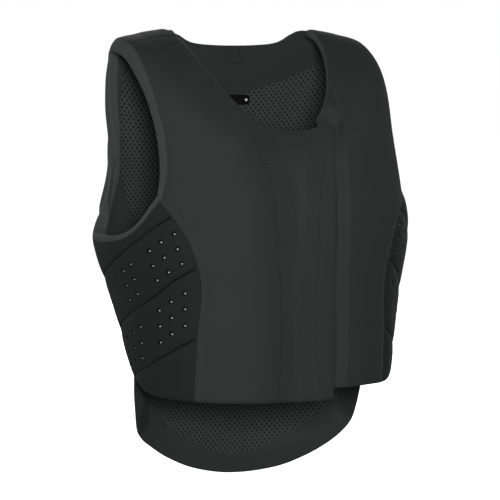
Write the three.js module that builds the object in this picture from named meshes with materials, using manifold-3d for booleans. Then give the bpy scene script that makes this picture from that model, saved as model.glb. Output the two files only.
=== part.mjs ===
// Back protector vest in millimetres: padded panels wrapped round a lofted torso form.
// +Z is up, the front faces -Y, the wearer's left is +X, and the origin is the rest between the shoulders.
import * as THREE from 'three';
import { mergeVertices } from 'three/addons/utils/BufferGeometryUtils.js';
import Module from 'manifold-3d';

const wasm = await Module();
wasm.setup();

// Driving dimensions: walls, measured out from the torso form
const FRONT_WALL = 12;
const STRAP_WALL = 10;
const SIDE_WALL = 13;
const BACK_WALL = 19;
const LINING_WALL = 2.2;
const LINING_GAP = 0.3;
const SEAM_GAP = 0.4;
const BACK_GAP = 0.6;

// The closure: the right front's flap lies over the left front's tongue, with the strip between them
const TONGUE_WALL = 4.4;
const CLOSURE_INNER = 5;
const CLOSURE_OUTER = 5.8;
const FLAP_INNER = 8.8;
const FLAP_OUTER = 14;
const FLAP_LAP = 44;
const FLAP_STEP = 12;
const FLAP_CLEAR = 6;
const STRIP_INSET = { tongue: 1.2, flap: 2.5 };
const STRIP_SPAN = { foot: 1.2, top: 6.4 };

// Vent holes, grooves and trim
const VENT_RADIUS = 2.6;
const VENT_SIDES = 8;
const VENTS_PER_ROW = 3;
const GROOVE_WIDTH = 2.2;
const GROOVE_DEPTH = 3.4;
const LOOP = { width: 18, height: 19, ribbon: 4.5, wall: 1.4, ring: 8.8, gap: 0.6 };
const TAB = { width: 40, height: 12, wall: 1.6, ring: 6.41, gap: 0.5 };
const STUD = { radius: 2.1, wall: 0.9, sides: 12, toLeft: 15, gap: 0.3 };

// How a panel thins towards an edge: over a width in from the edge, by a drop of the outer face
const ARMHOLE_EDGE = { width: 12, drop: 7 };
const NECK_EDGE = { width: 9, drop: 4 };
const HEM_EDGE = { width: 6, drop: 3 };
const SEAM_EDGE = { width: 5, drop: 1.2 };
const TAIL_EDGE = { width: 22, drop: 7, rise: 6.5 };
const REAR_EDGE = { width: 22, drop: BACK_WALL - SIDE_WALL };
const EDGE_ROUND = 1.3;
const BEVEL_STOPS = [0, 5, 12];
const TAIL_STOPS = [0, 8, 22];
const SEAM_STOPS = [SEAM_GAP, 5];
const SIDE_STOPS = [SEAM_GAP, 5, 12];
const REAR_STOPS = [1.2, 5];
const STRAP_STOPS = [SEAM_GAP, 4, 9, 16];
const FLAP_STOPS = [0, 5, 12];
const TONGUE_STOPS = [0, 16, 36, 52];
const BACK_STOPS = [BACK_GAP, 8, 22, 44];

// Torso form, a row for each ring from tail to neck: heights at the front, side and back, half width,
// depths of the front, side and back, squareness of the corners, how sharply the height dips, and how far
// the sides lean to the wearer's left
const RING_COLUMNS = [
  'frontZ', 'sideZ', 'backZ', 'halfWidth', 'frontY', 'sideY', 'backY', 'square', 'dip', 'lean',
];
const RINGS = [
  [-545, -545, -545, 138, -124, -34, 36, 2.2, 2, -8],
  [-425, -420, -425, 147, -132, -32, 40, 2.2, 2, 0],
  [-365, -362, -365, 156, -134, -24, 48, 2.2, 2, 0],
  [-305, -300, -300, 168, -136, -6, 64, 2.3, 2, 0],
  [-248, -240, -240, 182, -138, 8, 72, 2.35, 2, 0],
  [-205, -166, -166, 178, -138, 14, 63, 2.4, 2, -1],
  [-172, -90, -106, 173, -130, 26, 49, 2.4, 2, -3.5],
  [-150, -32, -60, 160, -122, 33, 43, 2.4, 2, -5],
  [-134, -16, -36, 126, -112, 35, 43, 2.3, 1.8, -3],
  [-121, -9, -20, 91, -104, 35, 45, 2.2, 1.5, 0],
];
const NECK = RINGS.length - 1;

// Rings between which the fronts and the back thin to the straps, and above which an edge is the neck's
const FRONT_THINS = { from: 7, to: NECK };
const BACK_THINS = { from: 5.5, to: 8.2 };
const NECK_FROM = { front: NECK - 1, back: 8.4 };

// Routes on the form, a row for each point: angle from the front centre, positive to the wearer's left,
// and ring number
const TIP = [90, 7.12];
const SHOULDER = [TIP, [90, NECK]];
const SEAM_TOP = [54.5, 4.85];
const REAR_TOP = [114, 4.3];
const REAR_FOOT = [104, 1.75];
const TAIL_CORNER = [108, 0.66];
const SEAM_RISE = [[46.5, 1.6], [43, 2.3], [39, 2.9], [37, 3.5], [39.5, 4.1], [45.5, 4.5], SEAM_TOP];
const ARMHOLE_FRONT = [SEAM_TOP, [53.5, 5.37], [54.5, 5.85], [58, 6.3], [64, 6.65], [77, 7.0], TIP];
const ARMHOLE_UNDER = [REAR_TOP, [104, 4.1], [92, 4.03], [82, 4.04], [70, 4.15], [61.5, 4.4], SEAM_TOP];
const ARMHOLE_BACK = [REAR_TOP, [120, 4.6], [122, 5], [120, 5.5], [114, 6], [109, 6.5], [103, 6.9], TIP];
const REAR_RISE = [REAR_FOOT, [108, 2.3], [111, 3], REAR_TOP];
const TAIL_SIDE = [TAIL_CORNER, [106, 0.9], [104.5, 1.3], REAR_FOOT];
const TAIL_LEFT = [TAIL_CORNER, [111, 0.53], [118, 0.41], [129, 0.29], [144, 0.165], [160, 0.065]];
const TAIL_RIGHT = [TAIL_CORNER, [111, 0.56], [119, 0.465], [130, 0.37], [144, 0.24], [161, 0.11]];
const TAIL_MIDDLE = [180, 0.025];
const HEM_RIGHT = [[104, 1.75], [97, 1.32], [88, 1.12], [78, 1.02], [64, 1], [49, 1]];
const HEM_LEFT = [[104, 1.75], [90, 1.4], [78, 1.22], [66, 1.12], [58, 1.07], [49, 1.065]];
const FLAP_EDGE = [[13.5, 1], [13, 2], [10.5, 3], [9.5, 3.8], [10, 5.2], [14.5, 6.9], [26, 8.05]];
const FLAP_TOP = [[26, 8.05], [16, 8.6], [6, NECK]];
const TONGUE_EDGE = [
  [1.3, 1.13], [0.8, 2], [0.6, 3], [0.6, 3.8], [1.5, 5.2], [3.5, 6.9], [13, 8.05], [24, NECK],
];

// Grooves of a side panel, from the front seam to the rear edge, and the corners of its vent groups
const GROOVES = [
  [[47.5, 4.53], [54.5, 4.3], [65, 3.98], [85.5, 3.5], [114, 2.95]],
  [[39, 3.58], [48.5, 3.35], [61, 2.98], [72, 2.75], [88.5, 2.45], [111, 2.1]],
  [[45.5, 2.22], [55.5, 2.02], [70, 1.7], [77, 1.53], [86, 1.38], [99, 1.15]],
];
const VENT_GROUPS = [
  { frontTop: [45.5, 4.25], rearTop: [57, 3.9], frontFoot: [43.5, 3.7], rearFoot: [56.5, 3.35] },
  { frontTop: [68.5, 3.62], rearTop: [80.5, 3.32], frontFoot: [70, 3.03], rearFoot: [83.5, 2.73] },
  { frontTop: [45, 3.12], rearTop: [59.5, 2.75], frontFoot: [48, 2.5], rearFoot: [63, 2.15] },
  { frontTop: [74, 2.4], rearTop: [87.5, 2.14], frontFoot: [78.5, 1.77], rearFoot: [92, 1.56] },
];

// Outlines on the back, seen along Y, a row for each point of the wearer's left half: x and z
const V_LINE = [[9, -79], [59, -63], [85, -54], [117, -40]];
const LINING_SIDE = [
  [129, -42], [140, -46], [146, -57], [150, -78], [150, -109], [148, -140], [147, -166], [139, -203],
  [118, -246], [114, -320], [114, -400], [116, -452],
];
const LINING_FOOT = [[114, -463], [101, -482], [68, -502], [30, -516], [0, -520]];
const YOKE_SIDE = [[124, -36], [121, -31], [108, -24], [100, 30], [0, 30]];
const V_GAP = 0.6;

const CLOTH = { roughness: 0.86, metalness: 0 };
const SMOOTH = { roughness: 0.4, metalness: 0 };

// Value of each ring column at a ring number, by cubic steps through the rows
function ringAt(ring) {
  const low = Math.min(Math.max(Math.floor(ring), 0), NECK - 1);
  const f = ring - low;
  const slope = (row, column) => {
    const before = Math.max(row - 1, 0);
    const after = Math.min(row + 1, NECK);
    return (RINGS[after][column] - RINGS[before][column]) / (after - before);
  };
  const value = (column) =>
    (2 * f ** 3 - 3 * f ** 2 + 1) * RINGS[low][column] +
    (f ** 3 - 2 * f ** 2 + f) * slope(low, column) +
    (3 * f ** 2 - 2 * f ** 3) * RINGS[low + 1][column] +
    (f ** 3 - f ** 2) * slope(low + 1, column);
  return Object.fromEntries(RING_COLUMNS.map((name, column) => [name, value(column)]));
}

// Point of the torso form: a rounded ring whose front and back halves have their own depth and height
function formPoint(angle, ring) {
  const r = ringAt(ring);
  const turn = THREE.MathUtils.degToRad(angle);
  const ahead = Math.cos(turn);
  const aside = Math.sin(turn);
  const round = (value) => Math.sign(value) * Math.abs(value) ** (2 / r.square);
  const depth = ahead > 0 ? r.sideY - r.frontY : r.backY - r.sideY;
  const rise = ahead > 0 ? r.frontZ - r.sideZ : r.backZ - r.sideZ;
  return new THREE.Vector3(
    r.halfWidth * round(aside) + r.lean * aside ** 2,
    r.sideY - depth * round(ahead),
    r.sideZ + rise * Math.abs(ahead) ** r.dip,
  );
}

// Point at a distance out from the form along its normal
function offsetPoint(angle, ring, distance) {
  const ANGLE_STEP = 0.4;
  const RING_STEP = 0.01;
  const around = formPoint(angle + ANGLE_STEP, ring).sub(formPoint(angle - ANGLE_STEP, ring));
  const above = formPoint(angle, Math.min(ring + RING_STEP, NECK));
  const along = above.sub(formPoint(angle, Math.max(ring - RING_STEP, 0)));
  const normal = around.cross(along).normalize();
  return formPoint(angle, ring).addScaledVector(normal, distance);
}

const mirrored = (rows) => rows.map(([angle, ring]) => [-angle, ring]);
const onBack = (rows) => rows.map(([angle, ring]) => [360 - angle, ring]);
const reversed = (rows) => [...rows].reverse();

// Rows of a smooth curve through a few rows
function rounded(rows) {
  const STEPS_PER_ROW = 2;
  const curve = new THREE.SplineCurve(rows.map(([x, z]) => new THREE.Vector2(x, z)));
  return curve.getPoints((rows.length - 1) * STEPS_PER_ROW).map((point) => point.toArray());
}

// A route on the form: a smooth curve through rows of angle and ring, measured along its length
class Route {
  constructor(rows) {
    const STEPS_PER_ROW = 12;
    const spline = new THREE.SplineCurve(rows.map(([angle, ring]) => new THREE.Vector2(angle, ring)));
    this.trace(spline.getPoints((rows.length - 1) * STEPS_PER_ROW));
  }

  trace(points) {
    this.points = points;
    this.distances = [0];
    for (let k = 1; k < points.length; k += 1) {
      const from = formPoint(points[k - 1].x, points[k - 1].y);
      const to = formPoint(points[k].x, points[k].y);
      this.distances.push(this.distances[k - 1] + from.distanceTo(to));
    }
    this.length = this.distances.at(-1);
  }

  // Angle and ring at a distance from the start
  at(distance) {
    const after = this.distances.findIndex((d) => d >= distance - 1e-9);
    if (after === 0) return this.points[0].clone();
    const k = after < 0 ? this.points.length - 1 : after;
    const span = this.distances[k] - this.distances[k - 1];
    return this.points[k - 1].clone().lerp(this.points[k], (distance - this.distances[k - 1]) / span);
  }

  // One route of several end to end
  static join(...routes) {
    const whole = new Route([[0, 0], [0, 1]]);
    whole.trace(routes.flatMap((route, k) => (k === 0 ? route.points : route.points.slice(1))));
    return whole;
  }
}

// Distances along a length: stops in from each end, and even cells between them
function stopsAlong(length, cells, start = [0], end = [0]) {
  const first = start.at(-1);
  const last = length - end.at(-1);
  const between = Array.from({ length: cells - 1 }, (_, k) => first + ((last - first) * (k + 1)) / cells);
  return [...start, ...between, ...reversed(end).map((stop) => length - stop)];
}

// Places along an edge made of stretches, each a route with its cells and its stops in from its ends
function edgePlaces(...stretches) {
  const places = [];
  let passed = 0;
  for (const { rows, cells, start, end } of stretches) {
    const route = new Route(rows);
    for (const distance of stopsAlong(route.length, cells, start, end)) {
      if (places.length > 0 && distance === 0) continue;
      places.push({ place: route.at(distance), passed: passed + distance });
    }
    passed += route.length;
  }
  places.length_mm = passed;
  return places;
}

// Grid of a four-sided panel on the form. Its rows run from the left edge's places to the right edge's,
// bowed by the bottom and top routes, with columns at given distances along each row.
function panelGrid({ left, right, bottom, top, columns }) {
  const ROW_SAMPLES = 48;
  const bow = (route, u) => {
    const chord = route.points[0].clone().lerp(route.points.at(-1), u);
    return route.at(u * route.length).sub(chord);
  };
  return left.map((leftEnd, row) => {
    const rightEnd = right[row];
    const v = (leftEnd.passed / left.length_mm + rightEnd.passed / right.length_mm) / 2;
    const across = (u) => {
      const place = leftEnd.place.clone().lerp(rightEnd.place, u);
      return place.addScaledVector(bow(bottom, u), 1 - v).addScaledVector(bow(top, u), v);
    };
    const line = new Route([[0, 0], [0, 1]]);
    line.trace(Array.from({ length: ROW_SAMPLES + 1 }, (_, k) => across(k / ROW_SAMPLES)));
    return columns(line.length).map((distance) => {
      const place = line.at(distance);
      const u = distance / line.length;
      return {
        angle: place.x,
        ring: place.y,
        row,
        fromLeft: distance,
        fromRight: line.length - distance,
        fromBottom: THREE.MathUtils.lerp(leftEnd.passed, rightEnd.passed, u),
        fromTop: THREE.MathUtils.lerp(left.length_mm - leftEnd.passed, right.length_mm - rightEnd.passed, u),
      };
    });
  });
}

// Turns the diagonals of a box's right and inner faces, so that opposite faces are cut alike and
// the faces of walls that lie together run along each other
function matchDiagonals(box) {
  const RIGHT = 0;
  const INNER = 5;
  const index = box.index.array;
  for (const { start, count } of [box.groups[RIGHT], box.groups[INNER]]) {
    for (let k = start; k < start + count; k += 6) {
      const [a, b, d, , c] = index.slice(k, k + 6);
      index.set([a, b, c, a, c, d], k);
    }
  }
}

// Closed wall over a grid, between an inner and an outer distance from the form
function wallSolid(grid, wall) {
  const rows = grid.length - 1;
  const columns = grid[0].length - 1;
  const box = new THREE.BoxGeometry(1, 1, 1, columns, rows, 1);
  matchDiagonals(box);
  box.deleteAttribute('normal');
  box.deleteAttribute('uv');
  const solid = mergeVertices(box);
  const position = solid.attributes.position;
  for (let k = 0; k < position.count; k += 1) {
    const row = Math.round((position.getY(k) + 0.5) * rows);
    const column = Math.round((position.getX(k) + 0.5) * columns);
    const node = grid[row][column];
    const [inner, outer] = wall(node);
    const point = offsetPoint(node.angle, node.ring, position.getZ(k) > 0 ? outer : inner);
    position.setXYZ(k, point.x, point.y, point.z);
  }
  return solid;
}

// Part of an edge's drop that is left at a distance in from it
function fade(edge, distance) {
  return Math.max(1 - distance / edge.width, 0) ** EDGE_ROUND;
}

// The largest drop of several edges at one place
function thinning(...pairs) {
  return Math.max(...pairs.map(([edge, distance]) => edge.drop * fade(edge, distance)));
}

// Solid of a closed three.js mesh whose vertices are merged, and the mesh of a solid
function toManifold(geometry) {
  const bare = geometry.clone();
  bare.deleteAttribute('normal');
  bare.deleteAttribute('uv');
  const merged = mergeVertices(bare);
  return new wasm.Manifold(new wasm.Mesh({
    numProp: 3,
    vertProperties: new Float32Array(merged.attributes.position.array),
    triVerts: new Uint32Array(merged.index.array),
  }));
}

function toGeometry(solid) {
  const mesh = solid.getMesh();
  const geometry = new THREE.BufferGeometry();
  geometry.setAttribute('position', new THREE.BufferAttribute(mesh.vertProperties, 3));
  geometry.setIndex(new THREE.BufferAttribute(mesh.triVerts, 1));
  return geometry;
}

function cut(geometry, tools) {
  return toGeometry(tools.reduce((solid, tool) => solid.subtract(toManifold(tool)), toManifold(geometry)));
}

function trim(geometry, tool) {
  return toGeometry(toManifold(geometry).intersect(toManifold(tool)));
}

const clothMesh = (name, geometry, color, finish = CLOTH) => {
  const mesh = new THREE.Mesh(geometry, new THREE.MeshStandardMaterial({ color, ...finish }));
  mesh.name = name;
  return mesh;
};

// Angle of an edge route at a ring, and so how far across the front a point lies past that edge
function pastEdge(rows) {
  const route = new Route(rows);
  return (node) => {
    const after = route.points.findIndex((point) => point.y >= node.ring);
    const near = route.points[after < 0 ? route.points.length - 1 : after];
    return formPoint(node.angle, node.ring).x - formPoint(near.x, near.y).x;
  };
}
const pastTongue = pastEdge(TONGUE_EDGE);
const pastFlap = pastEdge(FLAP_EDGE);

// Cells of the edges that neighbouring panels share
const seamStretch = (rows) => ({ rows, cells: 6, start: BEVEL_STOPS, end: BEVEL_STOPS });
const armholeStretch = (rows) => ({ rows, cells: 10, end: SEAM_STOPS });
const SEAM_ROWS = 10;

// Front panel: rows from the side seam and armhole to the closure and neck, up to the shoulder seam
const frontColumns = (length) => {
  const LAP_SHARE = 0.45;
  const STEP_REACH = 1.25;
  const lap = Math.min(FLAP_LAP, LAP_SHARE * length);
  return stopsAlong(length, 4, SIDE_STOPS, [...FLAP_STOPS, lap, STEP_REACH * lap]);
};
const towardsStrap = (ring, { from, to }) => THREE.MathUtils.smoothstep(ring, from, to);
const frontWall = ({ ring }) =>
  THREE.MathUtils.lerp(FRONT_WALL, STRAP_WALL, towardsStrap(ring, FRONT_THINS));

function frontPanelRight() {
  const hem = [[-49, 1], [-20, 1], [13.5, 1]];
  const seam = [[-49, 1], ...mirrored(SEAM_RISE)];
  const neck = [FLAP_TOP.at(-1), [-20, NECK], [-45, NECK], [-68, NECK], [-90, NECK]];
  const grid = panelGrid({
    left: edgePlaces(seamStretch(seam), armholeStretch(mirrored(ARMHOLE_FRONT))),
    right: edgePlaces(
      { rows: FLAP_EDGE, cells: 9, start: BEVEL_STOPS },
      { rows: FLAP_TOP, cells: 2 },
      { rows: neck, cells: 7, end: SEAM_STOPS },
    ),
    bottom: new Route(hem),
    top: new Route(mirrored(SHOULDER)),
    columns: frontColumns,
  });
  return wallSolid(grid, (node) => {
    const side = node.row < SEAM_ROWS ? SEAM_EDGE : ARMHOLE_EDGE;
    const lift = THREE.MathUtils.smoothstep(pastTongue(node) + FLAP_CLEAR, -FLAP_STEP, 0);
    const drop = thinning([side, node.fromLeft], [NECK_EDGE, node.fromRight], [HEM_EDGE, node.fromBottom]);
    const outer = THREE.MathUtils.lerp(frontWall(node) - drop, FLAP_OUTER - drop / 2, lift);
    return [FLAP_INNER * lift, outer];
  });
}

function frontPanelLeft() {
  const hem = [TONGUE_EDGE[0], [26, 1.12], HEM_LEFT.at(-1)];
  const seam = [HEM_LEFT.at(-1), ...SEAM_RISE];
  const neck = [TONGUE_EDGE.at(-1), [30, NECK], [50, NECK], [70, NECK], [90, NECK]];
  const grid = panelGrid({
    left: edgePlaces(
      { rows: TONGUE_EDGE, cells: 10, start: BEVEL_STOPS },
      { rows: neck, cells: 8, end: SEAM_STOPS },
    ),
    right: edgePlaces(seamStretch(seam), armholeStretch(ARMHOLE_FRONT)),
    bottom: new Route(hem),
    top: new Route(reversed(SHOULDER)),
    columns: (length) => stopsAlong(length, 5, TONGUE_STOPS, SIDE_STOPS),
  });
  return wallSolid(grid, (node) => {
    const side = node.row < SEAM_ROWS ? SEAM_EDGE : ARMHOLE_EDGE;
    const full = THREE.MathUtils.smoothstep(pastFlap(node) - FLAP_CLEAR, 0, FLAP_STEP);
    const neckDrop = node.ring > NECK_FROM.front ? NECK_EDGE : SEAM_EDGE;
    const drop = thinning([side, node.fromRight], [neckDrop, node.fromLeft], [HEM_EDGE, node.fromBottom]);
    return [0, THREE.MathUtils.lerp(TONGUE_WALL, frontWall(node) - drop, full)];
  });
}

// Hidden strip that holds the flap to the tongue, inset from the edges of both
function frontClosure() {
  const ROWS = 6;
  const CELLS = 10;
  const span = (ring) => THREE.MathUtils.clamp(ring, STRIP_SPAN.foot, STRIP_SPAN.top);
  const inset = (rows, angle) => rows.slice(0, ROWS).map(([a, ring]) => [a + angle, span(ring)]);
  const leftRows = inset(TONGUE_EDGE, STRIP_INSET.tongue);
  const rightRows = inset(FLAP_EDGE, -STRIP_INSET.flap);
  const grid = panelGrid({
    left: edgePlaces({ rows: leftRows, cells: CELLS }),
    right: edgePlaces({ rows: rightRows, cells: CELLS }),
    bottom: new Route([leftRows[0], rightRows[0]]),
    top: new Route([leftRows.at(-1), rightRows.at(-1)]),
    columns: (length) => stopsAlong(length, 2),
  });
  return wallSolid(grid, () => [CLOSURE_INNER, CLOSURE_OUTER]);
}

// Side panel: rows from the rear edge to the front seam, cut by its grooves and vents
function sidePanel(side) {
  const onSide = (rows) => (side < 0 ? mirrored(rows) : rows);
  const hem = side < 0 ? HEM_RIGHT : HEM_LEFT;
  const seam = edgePlaces(seamStretch(onSide([hem.at(-1), ...SEAM_RISE])));
  const rear = edgePlaces(seamStretch(onSide(REAR_RISE)));
  const forward = side < 0 ? (rows) => rows : reversed;
  const grid = panelGrid({
    left: side < 0 ? rear : seam,
    right: side < 0 ? seam : rear,
    bottom: new Route(forward(onSide(hem))),
    top: new Route(forward(onSide(ARMHOLE_UNDER))),
    columns: (length) => (side < 0
      ? stopsAlong(length, 7, REAR_STOPS, SEAM_STOPS)
      : stopsAlong(length, 7, SEAM_STOPS, REAR_STOPS)),
  });
  const solid = wallSolid(grid, (node) => {
    const seams = Math.min(node.fromLeft, node.fromRight);
    const drop = thinning([SEAM_EDGE, seams], [HEM_EDGE, node.fromBottom], [ARMHOLE_EDGE, node.fromTop]);
    return [0, SIDE_WALL - drop];
  });
  const grooves = GROOVES.map((rows) => grooveTool(onSide(rows)));
  const vents = VENT_GROUPS.flatMap(ventPlaces).map(([angle, ring]) => ventTool(side * angle, ring));
  return cut(solid, [...grooves, ...vents]);
}

// Angle and ring of each vent of a group, spread evenly between its corners
function ventPlaces({ frontTop, rearTop, frontFoot, rearFoot }) {
  const mix = (a, b, f) => a.map((value, k) => THREE.MathUtils.lerp(value, b[k], f));
  const steps = Array.from({ length: VENTS_PER_ROW }, (_, k) => k / (VENTS_PER_ROW - 1));
  return steps.flatMap((down) => steps.map((back) =>
    mix(mix(frontTop, rearTop, back), mix(frontFoot, rearFoot, back), down)));
}

function ventTool(angle, ring) {
  const REACH = 6;
  const tool = new THREE.CylinderGeometry(VENT_RADIUS, VENT_RADIUS, SIDE_WALL + 2 * REACH, VENT_SIDES);
  const middle = offsetPoint(angle, ring, SIDE_WALL / 2);
  const axis = offsetPoint(angle, ring, SIDE_WALL).sub(middle).normalize();
  tool.applyQuaternion(new THREE.Quaternion().setFromUnitVectors(new THREE.Vector3(0, 1, 0), axis));
  return tool.translate(middle.x, middle.y, middle.z);
}

// Bar along a route on the outer face, which cuts a groove
function grooveTool(rows) {
  const CELLS = 8;
  const REACH = 4;
  const route = new Route(rows);
  const bar = new THREE.BoxGeometry(1, 1, 1, CELLS, 1, 1);
  bar.deleteAttribute('normal');
  bar.deleteAttribute('uv');
  const solid = mergeVertices(bar);
  const position = solid.attributes.position;
  for (let k = 0; k < position.count; k += 1) {
    const distance = THREE.MathUtils.clamp((position.getX(k) + 0.5) * route.length, 0, route.length);
    const place = route.at(distance);
    const ahead = route.at(Math.min(distance + 1, route.length));
    const behind = route.at(Math.max(distance - 1, 0));
    const height = SIDE_WALL + (position.getZ(k) > 0 ? REACH : -GROOVE_DEPTH);
    const point = offsetPoint(place.x, place.y, height);
    const along = formPoint(ahead.x, ahead.y).sub(formPoint(behind.x, behind.y));
    const normal = offsetPoint(place.x, place.y, 1).sub(formPoint(place.x, place.y));
    point.addScaledVector(normal.cross(along).normalize(), position.getY(k) * GROOVE_WIDTH);
    position.setXYZ(k, point.x, point.y, point.z);
  }
  return solid;
}

// Back: rows across from the wearer's left to the right, from the tail up to the straps and neck
function backGrid() {
  const strap = new Route(SHOULDER);
  const neck = [[90, NECK], [110, NECK], [135, NECK], [180, NECK], [225, NECK], [250, NECK], [270, NECK]];
  const top = Route.join(strap, new Route(neck), new Route(reversed(onBack(SHOULDER))));
  const tail = [...TAIL_LEFT, TAIL_MIDDLE, ...reversed(onBack(TAIL_RIGHT))];
  const edge = (turn) => edgePlaces(
    { rows: turn(TAIL_SIDE), cells: 2, start: TAIL_STOPS },
    seamStretch(turn(REAR_RISE)),
    { rows: turn(ARMHOLE_BACK), cells: 6, end: STRAP_STOPS },
  );
  const half = [...BACK_STOPS, strap.length];
  return panelGrid({
    left: edge((rows) => rows),
    right: edge(onBack),
    bottom: new Route(tail),
    top,
    columns: (length) => stopsAlong(length, 6, half, half),
  });
}

const BACK_ROWS = { tail: 4, rear: 14 };

function backProtector(grid) {
  const inside = LINING_WALL + LINING_GAP;
  return wallSolid(grid, (node) => {
    const side = Math.min(node.fromLeft, node.fromRight);
    const tailSide = fade(TAIL_EDGE, node.row <= BACK_ROWS.tail ? side : TAIL_EDGE.width);
    const tail = Math.max(tailSide, fade(TAIL_EDGE, node.fromBottom));
    const wall = THREE.MathUtils.lerp(BACK_WALL, STRAP_WALL, towardsStrap(node.ring, BACK_THINS));
    const rear = node.row > BACK_ROWS.tail && node.row <= BACK_ROWS.rear;
    const armhole = node.row > BACK_ROWS.rear ? ARMHOLE_EDGE : SEAM_EDGE;
    const drop = thinning(
      [armhole, side],
      [REAR_EDGE, rear ? side : REAR_EDGE.width],
      [NECK_EDGE, node.ring > NECK_FROM.back ? node.fromTop : NECK_EDGE.width],
    );
    return [inside + TAIL_EDGE.rise * tail, wall - Math.max(drop, TAIL_EDGE.drop * tail)];
  });
}

// Prism along Y of an outline that is the same on both sides, given by rows for the wearer's left half
function backPrism(half) {
  const REACH = 120;
  const points = [...half, ...reversed(half).map(([x, z]) => [-x, z])];
  const outline = points.filter(([x, z], k) => k === 0 || x !== points[k - 1][0] || z !== points[k - 1][1]);
  const shape = new THREE.Shape(outline.map(([x, z]) => new THREE.Vector2(x, z)));
  const prism = new THREE.ExtrudeGeometry(shape, { depth: 2 * REACH, bevelEnabled: false });
  prism.rotateX(Math.PI / 2);
  return prism.translate(0, 2 * REACH, 0);
}

const liningSheet = (grid) => wallSolid(grid, () => [0, LINING_WALL]);

// Place of trim on the inner face of the back centre, turned to lie along it
function onBackCentre(mesh, ring, distance, toLeft = 0) {
  const CENTRE = 180;
  const point = offsetPoint(CENTRE, ring, -distance);
  const inward = formPoint(CENTRE, ring).sub(offsetPoint(CENTRE, ring, 1));
  mesh.quaternion.setFromUnitVectors(new THREE.Vector3(0, -1, 0), inward.normalize());
  mesh.position.set(point.x + toLeft, point.y, point.z);
  return mesh;
}

// Flat trim is drawn as x and z and extruded towards the wearer
function flatTrim(shape, wall) {
  const geometry = new THREE.ExtrudeGeometry(shape, { depth: wall, bevelEnabled: false, curveSegments: 6 });
  return geometry.rotateX(Math.PI / 2);
}

function hangLoop() {
  const { width, height, ribbon } = LOOP;
  const outer = width / 2;
  const inner = outer - ribbon;
  const bend = height - outer;
  const shape = new THREE.Shape();
  shape.moveTo(-outer, 0);
  shape.lineTo(-outer, -bend);
  shape.absarc(0, -bend, outer, Math.PI, 2 * Math.PI, false);
  shape.lineTo(outer, 0);
  shape.lineTo(inner, 0);
  shape.lineTo(inner, -bend);
  shape.absarc(0, -bend, inner, 2 * Math.PI, Math.PI, true);
  shape.lineTo(-inner, 0);
  return flatTrim(shape, LOOP.wall);
}

function yokeTab() {
  const { width, height, wall } = TAB;
  const shape = new THREE.Shape();
  shape.moveTo(-width / 2, -height / 2);
  shape.lineTo(width / 2, -height / 2);
  shape.lineTo(width / 2, height / 2);
  shape.lineTo(-width / 2, height / 2);
  return flatTrim(shape, wall);
}

function tabStud() {
  const { radius, wall, sides } = STUD;
  return new THREE.CylinderGeometry(radius, radius, wall, sides).translate(0, -wall / 2, 0);
}

const vest = new THREE.Group();
const back = backGrid();
const sheet = liningSheet(back);
const liningHalf = [[0, V_LINE[0][1]], ...V_LINE, ...LINING_SIDE, ...rounded(LINING_FOOT)];
const yokeHalf = [[0, V_LINE[0][1]], ...V_LINE, ...YOKE_SIDE].map(([x, z]) => [x, z + V_GAP]);

vest.add(clothMesh('front_panel_right', frontPanelRight(), 0x2f302f));
vest.add(clothMesh('front_panel_left', frontPanelLeft(), 0x2d2e2d));
vest.add(clothMesh('side_panel_right', sidePanel(-1), 0x2b2d2c));
vest.add(clothMesh('side_panel_left', sidePanel(1), 0x2b2d2c));
vest.add(clothMesh('back_protector', backProtector(back), 0x2d2f2e));
vest.add(clothMesh('back_lining', trim(sheet, backPrism(liningHalf)), 0x3b3d3c));
vest.add(clothMesh('neck_yoke', trim(sheet, backPrism(yokeHalf)), 0x343635));
vest.add(clothMesh('front_closure', frontClosure(), 0x1d1e1e));
vest.add(onBackCentre(clothMesh('hang_loop', hangLoop(), 0x2a2b2b), LOOP.ring, LOOP.gap));
vest.add(onBackCentre(clothMesh('yoke_tab', yokeTab(), 0x141515), TAB.ring, TAB.gap));
const stud = clothMesh('tab_stud', tabStud(), 0xd6d6d2, SMOOTH);
vest.add(onBackCentre(stud, TAB.ring, TAB.gap + TAB.wall + STUD.gap, STUD.toLeft));

export default vest;
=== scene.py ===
"""Looks of a back protector vest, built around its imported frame.

Lengths are millimetres until they go into a mesh. The front faces -Y, the wearer's left is +X and +Z is up.
The padded pieces lie on one torso form, a tube lofted through rings. A place on it is an angle in degrees
from the front centre, positive to the wearer's left, and a ring number that grows from tail to neck.
"""
import logging
import math
from dataclasses import dataclass
from enum import Enum
from typing import Callable, Sequence

import bpy
import numpy as np
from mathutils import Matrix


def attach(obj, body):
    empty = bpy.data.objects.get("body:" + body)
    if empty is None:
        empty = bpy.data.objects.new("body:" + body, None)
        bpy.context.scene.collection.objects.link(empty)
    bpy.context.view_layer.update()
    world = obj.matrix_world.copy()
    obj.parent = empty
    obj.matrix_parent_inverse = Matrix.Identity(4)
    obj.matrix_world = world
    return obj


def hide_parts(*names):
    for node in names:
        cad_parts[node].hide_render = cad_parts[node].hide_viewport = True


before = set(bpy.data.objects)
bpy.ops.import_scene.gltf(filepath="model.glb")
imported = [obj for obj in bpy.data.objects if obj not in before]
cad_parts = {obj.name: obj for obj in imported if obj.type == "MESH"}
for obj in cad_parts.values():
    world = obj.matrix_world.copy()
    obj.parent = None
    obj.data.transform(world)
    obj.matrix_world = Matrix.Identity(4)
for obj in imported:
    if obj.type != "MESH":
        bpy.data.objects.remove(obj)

log = logging.getLogger("vest")
Array = np.ndarray
Rows = Sequence[Sequence[float]]
Material = bpy.types.Material
Node = bpy.types.Node
Piece = bpy.types.Object
Socket = bpy.types.NodeSocket
Tone = tuple[float, float, float]

MM = 0.001
TINY = 1e-9
CREASE = 50.0
BODY = "root"

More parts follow.
